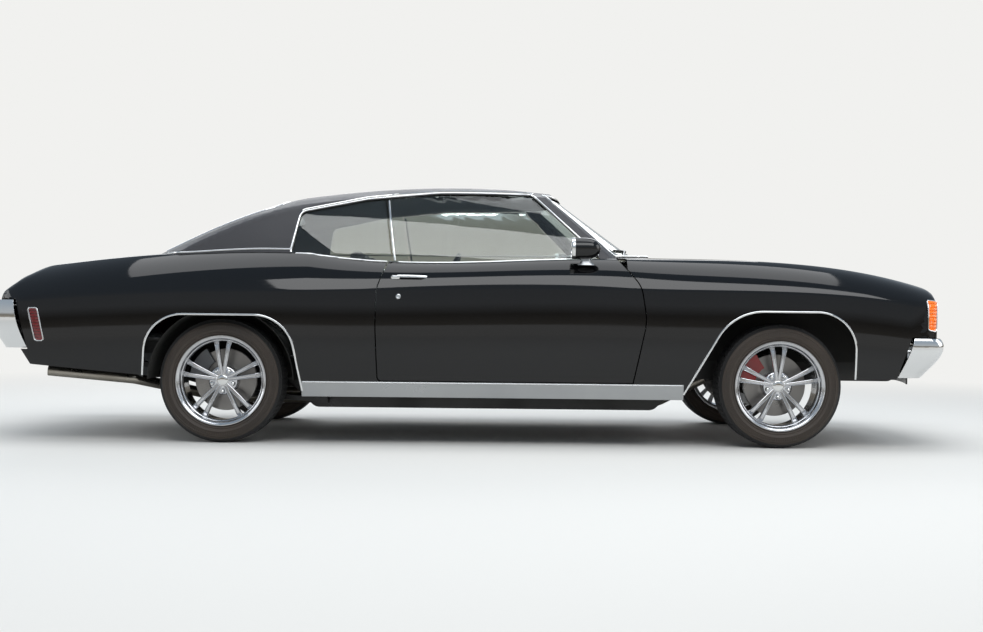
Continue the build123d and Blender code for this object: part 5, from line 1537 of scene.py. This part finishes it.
@dataclass
class Lamps:
    """Grille, headlamps, corner lamps, side markers and tail lamps with their bezels."""

    head_y: float = 688.0
    head_z: float = 674.0
    mouth: tuple = ((-782, 588, 24), (782, 588, 24), (782, 760, 24), (-782, 760, 24))
    corner: tuple = ((2296, 612, 6), (2341, 604, 6), (2350, 756, 6), (2296, 762, 6))
    marker: tuple = ((-2262, 676, 8), (-2216, 676, 8), (-2178, 512, 8), (-2222, 512, 8))
    tail_y: tuple[float, float] = (560.0, 730.0)
    tail_z: float = 622.0
    lens_r: float = 57.4
    lens_x: float = -2480.0
    lens_rings: int = 7
    # Side marker rib faces that point less sideways than this are painted black as the shade in the grooves
    painted_shade_tilt: float = 0.8
    ahead: float = 3000.0

    def headlamp(self, side: int, word: str) -> list[bpy.types.Object]:
        """Builds bezel, reflector, bulb shield and fluted glass of one headlamp.

        Args:
            side: 1 left, -1 right.
            word: left or right.

        Returns:
            The pieces.
        """
        bezel = [(80, 2297), (80, 2336), (79, 2339), (77, 2340), (74.5, 2338), (72.5, 2330), (71, 2322),
                 (71, 2297), (80, 2297)]
        bowl = [(71, 2316), (66, 2296), (52, 2262), (30, 2236), (0, 2226), (0, 2223), (31, 2233),
                (54, 2260), (68, 2295), (72.5, 2316), (71, 2316)]
        glass = [(0, 2344), (24, 2342.8), (44, 2339.4), (60, 2333), (70, 2325), (70, 2321), (59, 2329),
                 (43, 2335.4), (24, 2338.8), (0, 2340)]
        cup = [(0, 2304), (9, 2302), (14, 2296), (15, 2280), (6, 2278), (5, 2230), (0, 2230)]
        return [facing(rows, side * self.head_y, self.head_z, f"headlamp_{part}_{word}", finish, steps)
                for part, rows, finish, steps in (("bezel", bezel, CHROME, 64), ("bowl", bowl, CHROME, 64),
                                                  ("cup", cup, SATIN, 32), ("glass", glass, LAMP_GLASS, 64))]

    def tail_lamp(self, y: float, middle_finish: Finish, name: str) -> list[bpy.types.Object]:
        """Builds one round tail lamp: chrome cup, red lens with rings, and the lens's middle.

        Args:
            y: place across the car in mm.
            middle_finish: finish of the middle, which is clear where it is the reversing lamp.
            name: the lamp's name.

        Returns:
            The pieces.
        """
        cup = [(65.6, -2465), (65.6, -2497.5), (64.6, -2499), (61, -2499), (58.5, -2496), (57.5, -2478),
               (0, -2478), (0, -2465), (65.6, -2465)]
        red = [(self.lens_r, self.lens_x)]
        for i in range(self.lens_rings):
            outer, out = self.lens_r - i * 5.2, i * 0.7
            red += [(outer, -2489.5 - out), (outer - 3.4, -2492.4 - out), (outer - 4.6, -2489.9 - out)]
        red += [(20.4, -2494.5), (20.4, self.lens_x), (self.lens_r, self.lens_x)]
        middle = [(20, self.lens_x), (20, -2494.8), (16, -2496.6), (0, -2498.2), (0, self.lens_x)]
        return [facing(cup, y, self.tail_z, f"{name}_cup", CHROME),
                facing(red, y, self.tail_z, f"{name}_lens", RED, 64, 20),
                facing(middle, y, self.tail_z, f"{name}_middle", middle_finish, 40)]

    def lens(self, node: str, finish: Finish, painted_shade_tilt: float) -> None:
        """Copies a lens from its CAD node, with the flanks of its ribs painted black as the shade in its
        grooves.

        Args:
            node: the CAD node.
            finish: the lens's finish.
            painted_shade_tilt: a face that points less sideways than this is black; 0 leaves all clear.
        """
        made = dress(smooth(new_piece(f"{node}_dressed", cad_bmesh(node)), 30), finish, GRILLE_BLACK)
        # Painted shade: rib flanks get the black second slot in place of the shade the grooves would fall
        # into
        for face in made.data.polygons:
            if abs(face.normal.y) < painted_shade_tilt:
                face.material_index = 1
        settle(made, "body", node)

    def bezel(self, name: str, rows: tuple, skin: Skin, side: int, grow: float) -> None:
        """Lays a chrome bezel round a lens in the side.

        Args:
            name: the bezel's name.
            rows: corners of the lens.
            skin: the faces it lies on.
            side: 1 left, -1 right.
            grow: distance from the lens in mm.
        """
        found = [skin.side(x, z, side) for x, z in rounded_outline(rows, grow, 8.0)]
        moulding(name, found + found[:1], NARROW)

    def build(self) -> None:
        """Builds every lamp and the grille."""
        grille = smooth(new_piece("grille_dressed", cad_bmesh("grille")), 28)
        bevelled(grille, 0.8)
        settle(dress(grille, GRILLE_BLACK), "body", "grille")
        nose = Skin("nose_panel", "grille")
        mouth = [nose.front(y, z, self.ahead) for y, z in rounded_outline(self.mouth, 5.0)]
        moulding("grille_surround", mouth + mouth[:1], HALF_ROUND)
        lit = [piece for side, word in FLANKS for piece in self.headlamp(side, word)]
        settle(joined("headlamps_dressed", lit), "body", "headlamps")
        rear = [piece for side, word in FLANKS
                for y, finish, place in zip(self.tail_y, (LAMP_GLASS, RED), ("inner", "outer"))
                for piece in self.tail_lamp(side * y, finish, f"tail_lamp_{word}_{place}")]
        settle(joined("tail_lamps_dressed", rear), "body", "tail_lamps")
        self.lens("corner_lamps", AMBER, 0.0)
        self.lens("side_markers", RED, self.painted_shade_tilt)
        for side, word in FLANKS:
            front = Skin(f"fender_{word}", "nose_panel", "corner_lamps")
            self.bezel(f"corner_bezel_{word}", self.corner, front, side, 1.5)
            back = Skin(f"quarter_{word}", "side_markers")
            self.bezel(f"marker_bezel_{word}", self.marker, back, side, 1.0)


# ------------------------ mirrors, handles, wipers, aprons
@dataclass
class SmallParts:
    """Bullet mirrors, door handles with locks, wipers and fender aprons.

    A row of mirror_foot is z, half length, half width and lean of one section; a row of wiper_arms is the
    name, the y of the blade's two ends and the y of the arm's root.
    """

    mirror: Point = (560.0, 905.0, 1006.0)
    mirror_foot: tuple = ((922, 42, 17, 2), (926, 40, 16, 2), (934, 31, 12, 0), (944, 24, 9.5, -2),
                          (956, 22, 9, -3))
    foot_in: float = 4.0
    handle_x: tuple[float, float] = (-427.0, -246.0)
    handle_z: float = 850.0
    plate_long: float = 34.0
    bar_stand: float = 13.0
    lock: tuple[float, float] = (-387.0, 752.0)
    wiper_z: float = 1010.0
    wiper_rise: float = 8.0
    wiper_root_z: float = 978.0
    wiper_arms: tuple = (("outer", (-590, -130), -560), ("inner", (-60, 430), 20))
    apron_x: tuple[float, float] = (1090.0, 2090.0)
    apron: tuple = ((478, 430), (476, 430), (470, 700), (520, 790), (676, 838), (688, 838), (688, 836),
                    (677, 835.5), (522, 787.5), (473, 699))

    def mirror_on(self, side: int, word: str) -> None:
        """Builds one bullet mirror with its glass and foot.

        Args:
            side: 1 left, -1 right.
            word: left or right.
        """
        shell = [(0, 74.5), (12, 73), (24, 68), (36, 58), (45, 44), (51, 26), (54, 4), (54.6, -30),
                 (54.4, -60), (53, -70), (51, -73), (49.5, -72), (49, -66), (0, -66)]
        rim = [(54.8, -56), (55.2, -62), (54.6, -70), (52.5, -74), (50, -74.4), (49.2, -72), (50, -66)]
        face = [(0, -68), (49, -68), (49, -66.2), (0, -66.2)]
        x0, y0, z0 = self.mirror
        pieces = [facing([(r, x + x0) for r, x in rows], side * y0, z0, f"mirror_{word}_{part}", finish, 56)
                  for part, rows, finish in (("shell", shell, PAINT), ("rim", rim + rim[:1], CHROME),
                                             ("face", face + face[:1], MIRROR_FACE))]
        bm = bmesh.new()
        loft(bm, [[(x0 + lean + half_x * math.cos(a), side * (y0 - self.foot_in + half_y * math.sin(a)), z)
                   for a in np.linspace(0, math.tau, 33)[:-1]]
                  for z, half_x, half_y, lean in self.mirror_foot])
        foot = dress(smooth(new_piece(f"mirror_{word}_foot", outwards(bm)), 40), SATIN)
        settle(joined(f"mirror_{word}_dressed", (*pieces, foot)), f"door_{word}", f"mirror_{word}")

    def handle(self, side: int, word: str) -> None:
        """Builds one pull bar with its plate and thumb button.

        Args:
            side: 1 left, -1 right.
            word: left or right.
        """
        skin = Skin(f"door_{word}")
        first, last = self.handle_x
        bar = []
        for share in np.linspace(0, 1, 26):
            x = first + self.plate_long + (last - first - self.plate_long) * share
            place, _ = skin.side(x, self.handle_z + 1.5, side)
            stand = self.bar_stand * min(1.0, 5 * (1 - share)) - 1.0
            bar.append(place + Vector((0, side * stand * MM, (4.5 - 3 * share ** 3) * MM)))
        bm = bmesh.new()
        sweep(bm, bar, rounded_box((6.5, 2.6), 2.2), [Vector((0, side, 0.25)).normalized()] * len(bar))
        made = [dress(smooth(new_piece(f"handle_{word}_bar", outwards(bm)), 40), CHROME)]
        for part, low, high, stand, half in (("plate", first, first + 46, 7.0, 9.6),
                                             ("button", first + 8, first + 38, 12.0, 5.6)):
            middle = (low + high) / 2
            place, _ = skin.side(middle, self.handle_z, side)
            outline = rounded_box(((high - low) / 2, half), half - 0.2, 6)
            bm = bmesh.new()
            loft(bm, [[(middle + u * (1 - inset / 20), place.y / MM + side * out,
                        self.handle_z + v * (1 - inset / half)) for u, v in outline]
                      for inset, out in ((0.0, -6.0), (0.0, stand - 1.6), (0.6, stand - 0.5), (1.8, stand))])
            made.append(dress(smooth(new_piece(f"handle_{word}_{part}", outwards(bm)), 35), CHROME))
        settle(joined(f"door_handle_{word}_dressed", made), f"door_{word}", f"door_handle_{word}")

    def key_lock(self, side: int, word: str) -> None:
        """Sets one key lock into its door.

        Args:
            side: 1 left, -1 right.
            word: left or right.
        """
        place, normal = Skin(f"door_{word}").side(*self.lock, side)
        bm = bmesh.new()
        lathe(bm, [(0, 1.6), (4.6, 1.6), (5.4, 0.6), (6.6, 0.6), (7.6, 2.8), (10, 3.2), (12.2, 2.2),
                   (13.4, -1), (13.4, -5), (0, -5), (0, 1.6)], 40)
        block(bm, (-0.9, 0.5, -3.4), (0.9, 2.4, 3.4))
        turn = Vector((0, 1, 0)).rotation_difference(normal).to_matrix().to_4x4()
        lock = shift(new_piece(f"door_lock_{word}", outwards(bm)), Matrix.Translation(place) @ turn)
        settle(dress(smooth(lock, 35), CHROME), f"door_{word}")

    def wipers(self) -> None:
        """Lays both wipers on the windscreen, parked low."""
        glass = Skin("windscreen")
        made = []
        for name, ends, root in self.wiper_arms:
            found = [glass.front(y, self.wiper_z + self.wiper_rise * share)
                     for y, share in zip(np.linspace(*ends, 20), np.linspace(0, 1, 20))]
            found = [f for f in found if f]
            bm = bmesh.new()
            sweep(bm, [p + n * 0.0045 for p, n in found], rounded_box((3.0, 3.6), 1.0), [n for _, n in found])
            made.append(dress(smooth(new_piece(f"wiper_{name}_blade", outwards(bm)), 40), GRILLE_BLACK))
            bm = bmesh.new()
            spine = found[3:17]
            sweep(bm, [p + n * 0.0105 for p, n in spine], rounded_box((2.4, 1.6), 0.8), [n for _, n in spine])
            foot = glass.front(root, self.wiper_root_z)
            if foot:
                start, up = foot
                end, end_up = found[len(found) // 2]
                arm = resampled([start + up * 0.006, (start + end) / 2 + up * 0.011,
                                 end + end_up * 0.0135], 0.02)
                sweep(bm, arm, rounded_box((4.2, 1.8), 1.0), [up] * len(arm), False,
                      lambda share: 1.25 - 0.5 * share)
            made.append(dress(smooth(new_piece(f"wiper_{name}_arm", outwards(bm)), 40), SATIN))
        settle(joined("wipers", made), "body")

    def fender_apron(self, side: int, word: str) -> None:
        """Folds one inner fender apron, which parts the wheel from the engine room.

        Args:
            side: 1 left, -1 right.
            word: left or right.
        """
        bm = bmesh.new()
        loft(bm, [[(x, side * y, z) for y, z in self.apron] for x in np.linspace(*self.apron_x, 9)])
        settle(dress(smooth(new_piece(f"fender_apron_{word}", outwards(bm)), 30), UNDERSEAL), "body")

    def build(self) -> None:
        """Builds all of them."""
        both_sides(self.mirror_on)
        for side, word in FLANKS:
            self.handle(side, word)
            self.key_lock(side, word)
        self.wipers()
        both_sides(self.fender_apron)


# ------------------------ cabin
@dataclass
class Pad:
    """A sewn, foam-filled slab with an insert of channels.

    Sizes are in mm. The local z axis points out of the seat's face and x runs along the channels. insert
    is the share of the face that the insert takes, and a seam or channel is given by its depth and width.
    """

    name: str
    half: Point
    middle: Point
    face: Point
    insert: tuple[float, float] = (0.78, 0.66)
    channels: int = 7
    cap_mm: float = 13.0
    voxel_mm: float = 9.0
    quick_voxel_mm: float = 18.0
    seam: tuple[float, float] = (6.0, 6.5)
    channel: tuple[float, float] = (5.0, 6.0)
    pressure: float = 4.0
    frames: int = 20
    edge_share: float = 0.8

    def slab(self) -> bpy.types.Object:
        """Builds the unfilled slab with rounded edges.

        Returns:
            The slab at the origin.
        """
        bm = bmesh.new()
        block(bm, tuple(-h for h in self.half), self.half)
        made = new_piece(self.name, bm)
        bend = made.modifiers.new("edges", "BEVEL")
        bend.width = self.half[2] * self.edge_share * MM
        bend.segments = 4
        apply_modifiers(made)
        remesh = made.modifiers.new("voxels", "REMESH")
        remesh.mode = "VOXEL"
        remesh.voxel_size = self.voxel_mm * MM
        return apply_modifiers(made)

    def fill(self, made: bpy.types.Object) -> None:
        """Blows the slab up as cloth under pressure and caps how far each point moves.

        Args:
            made: the slab, whose mesh is changed.
        """
        before = [v.co.copy() for v in made.data.vertices]
        cloth = made.modifiers.new("cloth", "CLOTH")
        cloth.settings.quality = 4
        cloth.settings.use_pressure = True
        cloth.settings.uniform_pressure_force = self.pressure
        cloth.settings.effector_weights.gravity = 0.0
        cloth.point_cache.frame_start, cloth.point_cache.frame_end = 1, self.frames
        scene = bpy.context.scene
        for number in range(self.frames):
            scene.frame_set(number + 1)
        graph = bpy.context.evaluated_depsgraph_get()
        after = [v.co.copy() for v in made.evaluated_get(graph).data.vertices]
        made.modifiers.remove(cloth)
        scene.frame_set(1)
        for vert, old, new in zip(made.data.vertices, before, after):
            move = new - old
            vert.co = old + move * min(1.0, self.cap_mm * MM / max(move.length, 1e-9))

    def sew(self, made: bpy.types.Object) -> None:
        """Draws the channels and the seam round the insert into the face.

        Args:
            made: the slab, whose mesh is changed.
        """
        hx, hy, hz = self.half
        in_x, in_y = hx * self.insert[0], hy * self.insert[1]
        for vert in made.data.vertices:
            x, y, z = vert.co / MM
            if z < hz * 0.3:
                continue
            edge = max(abs(x) - in_x, abs(y) - in_y)
            dip = self.seam[0] * math.exp(-(edge / self.seam[1]) ** 2)
            if self.channels and edge < 0:
                phase = (y / in_y + 1) / 2 * self.channels
                near = abs(phase - round(phase)) * 2 * in_y / self.channels
                dip = max(dip, self.channel[0] * math.exp(-(near / self.channel[1]) ** 2))
            vert.co.z -= dip * MM

    def build(self) -> bpy.types.Object:
        """Builds the pad in its place.

        Returns:
            The finished pad.
        """
        made = self.slab()
        self.fill(made)
        finer = made.modifiers.new("finer", "SUBSURF")
        finer.levels = finer.render_levels = 1
        apply_modifiers(made)
        self.sew(made)
        out = Vector(self.face).normalized()
        along = Vector((0, 1, 0)).cross(out)
        turn = Matrix((along, (0, 1, 0), out)).transposed().to_4x4()
        shift(made, Matrix.Translation(Vector(self.middle) * MM) @ turn)
        return dress(smooth(made, 180), SEAT_VINYL)


def mirrored(obj: bpy.types.Object, name: str) -> bpy.types.Object:
    """Copies a piece across the car's middle.

    Args:
        obj: the piece.
        name: the copy's name.

    Returns:
        The copy, with its faces turned back out.
    """
    made = bpy.data.objects.new(name, obj.data.copy())
    bpy.context.scene.collection.objects.link(made)
    return shift(made, Matrix.Diagonal((1, -1, 1, 1)))


@dataclass
class Cabin:
    """Seats, dashboard, wheel, door cards and carpet."""

    seat_y: float = 400.0
    seat_base: tuple = ((-400, 312, 2.2), (-300, 312, 2.6), (60, 322, 2.6), (140, 330, 1.4))
    dials: tuple = ((490, 846, 46), (388, 846, 46), (310, 872, 24), (310, 820, 24))
    dash_parts: tuple = ((-130, 60, 800, 838, SATIN), (-600, -240, 795, 870, TRIM_PLASTIC),
                         (-110, 40, 862, 880, GRILLE_BLACK), (-620, 250, 884, 888, CHROME))
    dash_from: float = -100.0
    wheel_middle: Point = (-190.0, 400.0, 850.0)
    wheel_spokes: tuple[float, float] = (52.0, 166.0)
    winder: Point = (300.0, 762.0, 570.0)
    carpet_x: tuple[float, float] = (-1700.0, 900.0)

    def seats(self) -> None:
        """Builds the front seats from the left one, and the rear bench."""
        pads = (Pad("front_cushion_left", (280, 212, 52), (-116, self.seat_y, 402), (-0.1, 0, 1)),
                Pad("front_back_left", (270, 212, 36), (-575, self.seat_y, 742), (0.966, 0, 0.26)),
                Pad("rear_cushion", (128, 542, 44), (-842, 0, 508), (-0.157, 0, 1), (0.7, 0.9), 15),
                Pad("rear_back", (170, 542, 18), (-1049, 0, 715), (0.978, 0, 0.21), (0.74, 0.9), 15))
        made = {pad.name: pad.build() for pad in pads}
        for part in ("cushion", "back"):
            made[f"front_{part}_right"] = mirrored(made[f"front_{part}_left"], f"front_{part}_right")
        for piece in made.values():
            settle(piece, "body")
        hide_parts("front_seats")
        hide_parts("rear_seat")
        for side, word in FLANKS:
            bm = bmesh.new()
            loft(bm, [[(x, side * self.seat_y + u, z + v * tall) for u, v in rounded_box((205, 14), 8)]
                      for x, z, tall in self.seat_base])
            base = dress(smooth(new_piece(f"front_seat_base_{word}", outwards(bm)), 30), TRIM_PLASTIC)
            settle(base, "body")

    def dash(self) -> None:
        """Dresses the dashboard and sets in dials, radio, vents and the glove box lid."""
        board = smooth(new_piece("dashboard_dressed", cad_bmesh("dashboard")), 28)
        bevelled(board, 9.0, 3)
        settle(dress(board, TRIM_PLASTIC), "body", "dashboard")
        face = Skin("dashboard")
        made = []
        for i, (y, z, radius) in enumerate(self.dials):
            x = face.hit((self.dash_from, y, z), (1, 0, 0))[0].x / MM
            ring = [(radius, x + 8), (radius, x - 3), (radius - 1.5, x - 4.5), (radius - 4, x - 3.5),
                    (radius - 5, x + 1), (radius - 5, x + 8), (radius, x + 8)]
            card = [(0, x - 1), (radius - 5, x - 1), (radius - 5, x + 4), (0, x + 4)]
            needle = bmesh.new()
            block(needle, (x - 2.4, y - 1.2, z - 4), (x - 1.2, y + 1.2, z + radius * 0.66))
            made += [facing(ring, y, z, f"dial_ring_{i}", CHROME, 48),
                     facing(card, y, z, f"dial_card_{i}", DIAL, 48),
                     dress(new_piece(f"dial_needle_{i}", outwards(needle)), RED)]
        for i, (y0, y1, z0, z1, finish) in enumerate(self.dash_parts):
            x = face.hit((self.dash_from, (y0 + y1) / 2, (z0 + z1) / 2), (1, 0, 0))[0].x / MM
            bm = bmesh.new()
            block(bm, (x - 3.5, y0, z0), (x + 4, y1, z1))
            made.append(dress(bevelled(new_piece(f"dash_part_{i}", outwards(bm)), 1.2), finish))
        settle(joined("dashboard_parts", made), "body")

    def wheel(self) -> None:
        """Dresses the steering wheel: grained rim, satin spokes."""
        made = smooth(new_piece("steering_wheel_dressed", cad_bmesh("steering_wheel")), 30)
        dress(made, TRIM_PLASTIC, SATIN)
        inner, outer = self.wheel_spokes
        for poly in made.data.polygons:
            if inner < (poly.center / MM - Vector(self.wheel_middle)).length < outer:
                poly.material_index = 1
        settle(made, "steering_wheel", "steering_wheel")

    def door_card(self, side: int, word: str) -> None:
        """Hangs trim, armrest and window winder inside one door.

        Args:
            side: 1 left, -1 right.
            word: left or right.
        """
        parts = []
        for name, low, high, bend, finish in (
                ("card", (-430, 762, 385), (700, 771.5, 840), 3.0, TRIM_PLASTIC),
                ("rest", (-330, 712, 610), (160, 765, 664), 14.0, SEAT_VINYL),
                ("strip", (-425, 758, 690), (695, 764, 702), 1.5, CHROME),
                ("kick", (-425, 759, 392), (695, 764, 452), 2.0, CARPET)):
            bm = bmesh.new()
            block(bm, (low[0], side * low[1], low[2]), (high[0], side * high[1], high[2]))
            parts.append(dress(bevelled(new_piece(f"{name}_{word}", outwards(bm)), bend, 3), finish))
        x, y, z = self.winder
        bm = bmesh.new()
        lathe(bm, [(0, 12), (16, 11), (19, 7), (19, 0), (0, 0)], 32)
        hub = new_piece(f"winder_hub_{word}", outwards(bm))
        shift(hub, Matrix.Translation(Vector((x, side * y, z)) * MM) @ Matrix.Diagonal((1, -side, 1, 1)))
        bm = bmesh.new()
        block(bm, (x - 4, side * (y - 14), z - 100), (x + 4, side * (y - 10), z + 5))
        ball(bm, (x, side * (y - 20), z - 96), (11, 9, 11))
        arm = bevelled(new_piece(f"winder_arm_{word}", outwards(bm)), 1.0)
        parts += [dress(smooth(hub, 30), CHROME), dress(smooth(arm, 30), CHROME)]
        settle(joined(f"door_trim_{word}", parts), f"door_{word}")

    def carpet(self) -> None:
        """Dresses the floor: carpet above, sprayed underseal below."""
        made = smooth(new_piece("floor_dressed", cad_bmesh("floor")), 28)
        dress(made, UNDERSEAL, CARPET)
        rear, front = self.carpet_x
        for poly in made.data.polygons:
            if poly.normal.z > 0.3 and rear < poly.center.x / MM < front:
                poly.material_index = 1
        settle(made, "body", "floor")

    def build(self) -> None:
        """Builds the whole cabin."""
        self.carpet()
        self.seats()
        self.dash()
        self.wheel()
        both_sides(self.door_card)


# ------------------------ studio
@dataclass
class Studio:
    """Pale floor, soft light and the camera. Places and sizes are in metres, turns in degrees."""

    camera_at: Point = (0.084, -7.93, 0.659)
    lens_mm: float = 50.75
    roll: float = -0.61
    background: str = "f1f1ef"
    blend: tuple[float, float] = (2.6, 9.0)
    softboxes: tuple = (("key_softbox", (1.5, -5.0, 5.5), (42, 0, 12), (7.0, 3.0), 260),
                        ("top_softbox", (0.0, 0.0, 6.5), (0, 0, 0), (8.0, 4.0), 220),
                        ("back_softbox", (-1.0, 6.0, 4.0), (-58, 0, 0), (8.0, 3.0), 200),
                        ("left_softbox", (-7.5, -1.0, 3.0), (0, -70, 0), (4.0, 4.0), 120),
                        ("right_softbox", (7.5, -1.0, 3.0), (0, 70, 0), (4.0, 4.0), 120))
    horizon: str = "b9b2a6"
    zenith: str = "a9bccf"
    sky_steps: tuple = ((0.06, "8f8a80"), (0.13, "dfe4e8"), (0.4, "c6d3e0"))

    def floor(self) -> None:
        """Lays the floor: pale and matt near the object, as bright as the background far off."""
        bm = bmesh.new()
        bmesh.ops.create_grid(bm, x_segments=2, y_segments=2, size=60.0)
        made = new_piece("studio_floor", bm)
        finish = bpy.data.materials.new("pale_studio_floor")
        finish.use_nodes = True
        tree = finish.node_tree
        tree.nodes.clear()
        place = add_node(tree, "ShaderNodeTexCoord").outputs["Object"]
        reach = add_node(tree, "ShaderNodeVectorMath", {"operation": "LENGTH"}, {0: place}).outputs["Value"]
        far = add_node(tree, "ShaderNodeMapRange", {"interpolation_type": "SMOOTHSTEP"}, {
            "Value": reach, "From Min": self.blend[0], "From Max": self.blend[1]}).outputs["Result"]
        matt = add_node(tree, "ShaderNodeBsdfPrincipled", inputs={
            "Base Color": linear("d9d7d2"), "Roughness": 0.75})
        plain = add_node(tree, "ShaderNodeEmission", inputs={"Color": linear(self.background)})
        both = add_node(tree, "ShaderNodeMixShader", inputs={
            0: far, 1: matt.outputs[0], 2: plain.outputs[0]})
        add_node(tree, "ShaderNodeOutputMaterial", inputs={"Surface": both.outputs[0]})
        made.data.materials.append(finish)

    def light(self) -> None:
        """Hangs the softboxes."""
        for name, place, turn, size, power in self.softboxes:
            lamp = bpy.data.lights.new(name, "AREA")
            lamp.shape = "RECTANGLE"
            lamp.size, lamp.size_y = size
            lamp.energy = power
            holder = bpy.data.objects.new(name, lamp)
            holder.location = place
            holder.rotation_euler = [math.radians(a) for a in turn]
            bpy.context.scene.collection.objects.link(holder)

    def sky(self) -> None:
        """Sets the world: pale sky over a warm horizon, and the plain background for the camera."""
        world = bpy.data.worlds.new("studio_world")
        bpy.context.scene.world = world
        world.use_nodes = True
        tree = world.node_tree
        tree.nodes.clear()
        way = add_node(tree, "ShaderNodeTexCoord").outputs["Generated"]
        height = add_node(tree, "ShaderNodeSeparateXYZ", inputs={0: way}).outputs["Z"]
        sky = add_node(tree, "ShaderNodeValToRGB", inputs={0: height})
        ramp = sky.color_ramp
        ramp.elements[0].color = linear(self.horizon)
        ramp.elements[1].color = linear(self.zenith)
        for position, colour in self.sky_steps:
            step = ramp.elements.new(position)
            step.color = linear(colour)
        glow = add_node(tree, "ShaderNodeBackground", inputs={
            "Color": sky.outputs["Color"], "Strength": 0.75})
        plain = add_node(tree, "ShaderNodeBackground", inputs={
            "Color": linear(self.background), "Strength": 1.0})
        ray = add_node(tree, "ShaderNodeLightPath").outputs["Is Camera Ray"]
        both = add_node(tree, "ShaderNodeMixShader", inputs={0: ray, 1: glow.outputs[0], 2: plain.outputs[0]})
        add_node(tree, "ShaderNodeOutputWorld", inputs={"Surface": both.outputs[0]})

    def camera(self) -> None:
        """Stands the camera where the side view is seen from."""
        data = bpy.data.cameras.new("side_camera")
        data.lens = self.lens_mm
        data.sensor_width = 36.0
        holder = bpy.data.objects.new("side_camera", data)
        holder.location = self.camera_at
        holder.rotation_euler = (math.radians(90), math.radians(self.roll), 0)
        bpy.context.scene.collection.objects.link(holder)
        bpy.context.scene.camera = holder

    def build(self) -> None:
        """Sets up floor, light, sky and camera."""
        self.floor()
        self.light()
        self.sky()
        self.camera()
        bpy.context.scene.view_settings.view_transform = "Standard"


ASSEMBLIES = (PaintedPanels, RigidPieces, VinylRoof, BrightTrim, Wheels, Lamps, SmallParts, Cabin)


def main() -> None:
    """Builds every sub-assembly in order."""
    logging.basicConfig(level=logging.INFO, format="%(message)s")
    Studio().build()
    for assembly in ASSEMBLIES:
        LOG.info("-- %s", assembly.__name__)
        assembly().build()


if __name__ == "__main__":
    main()
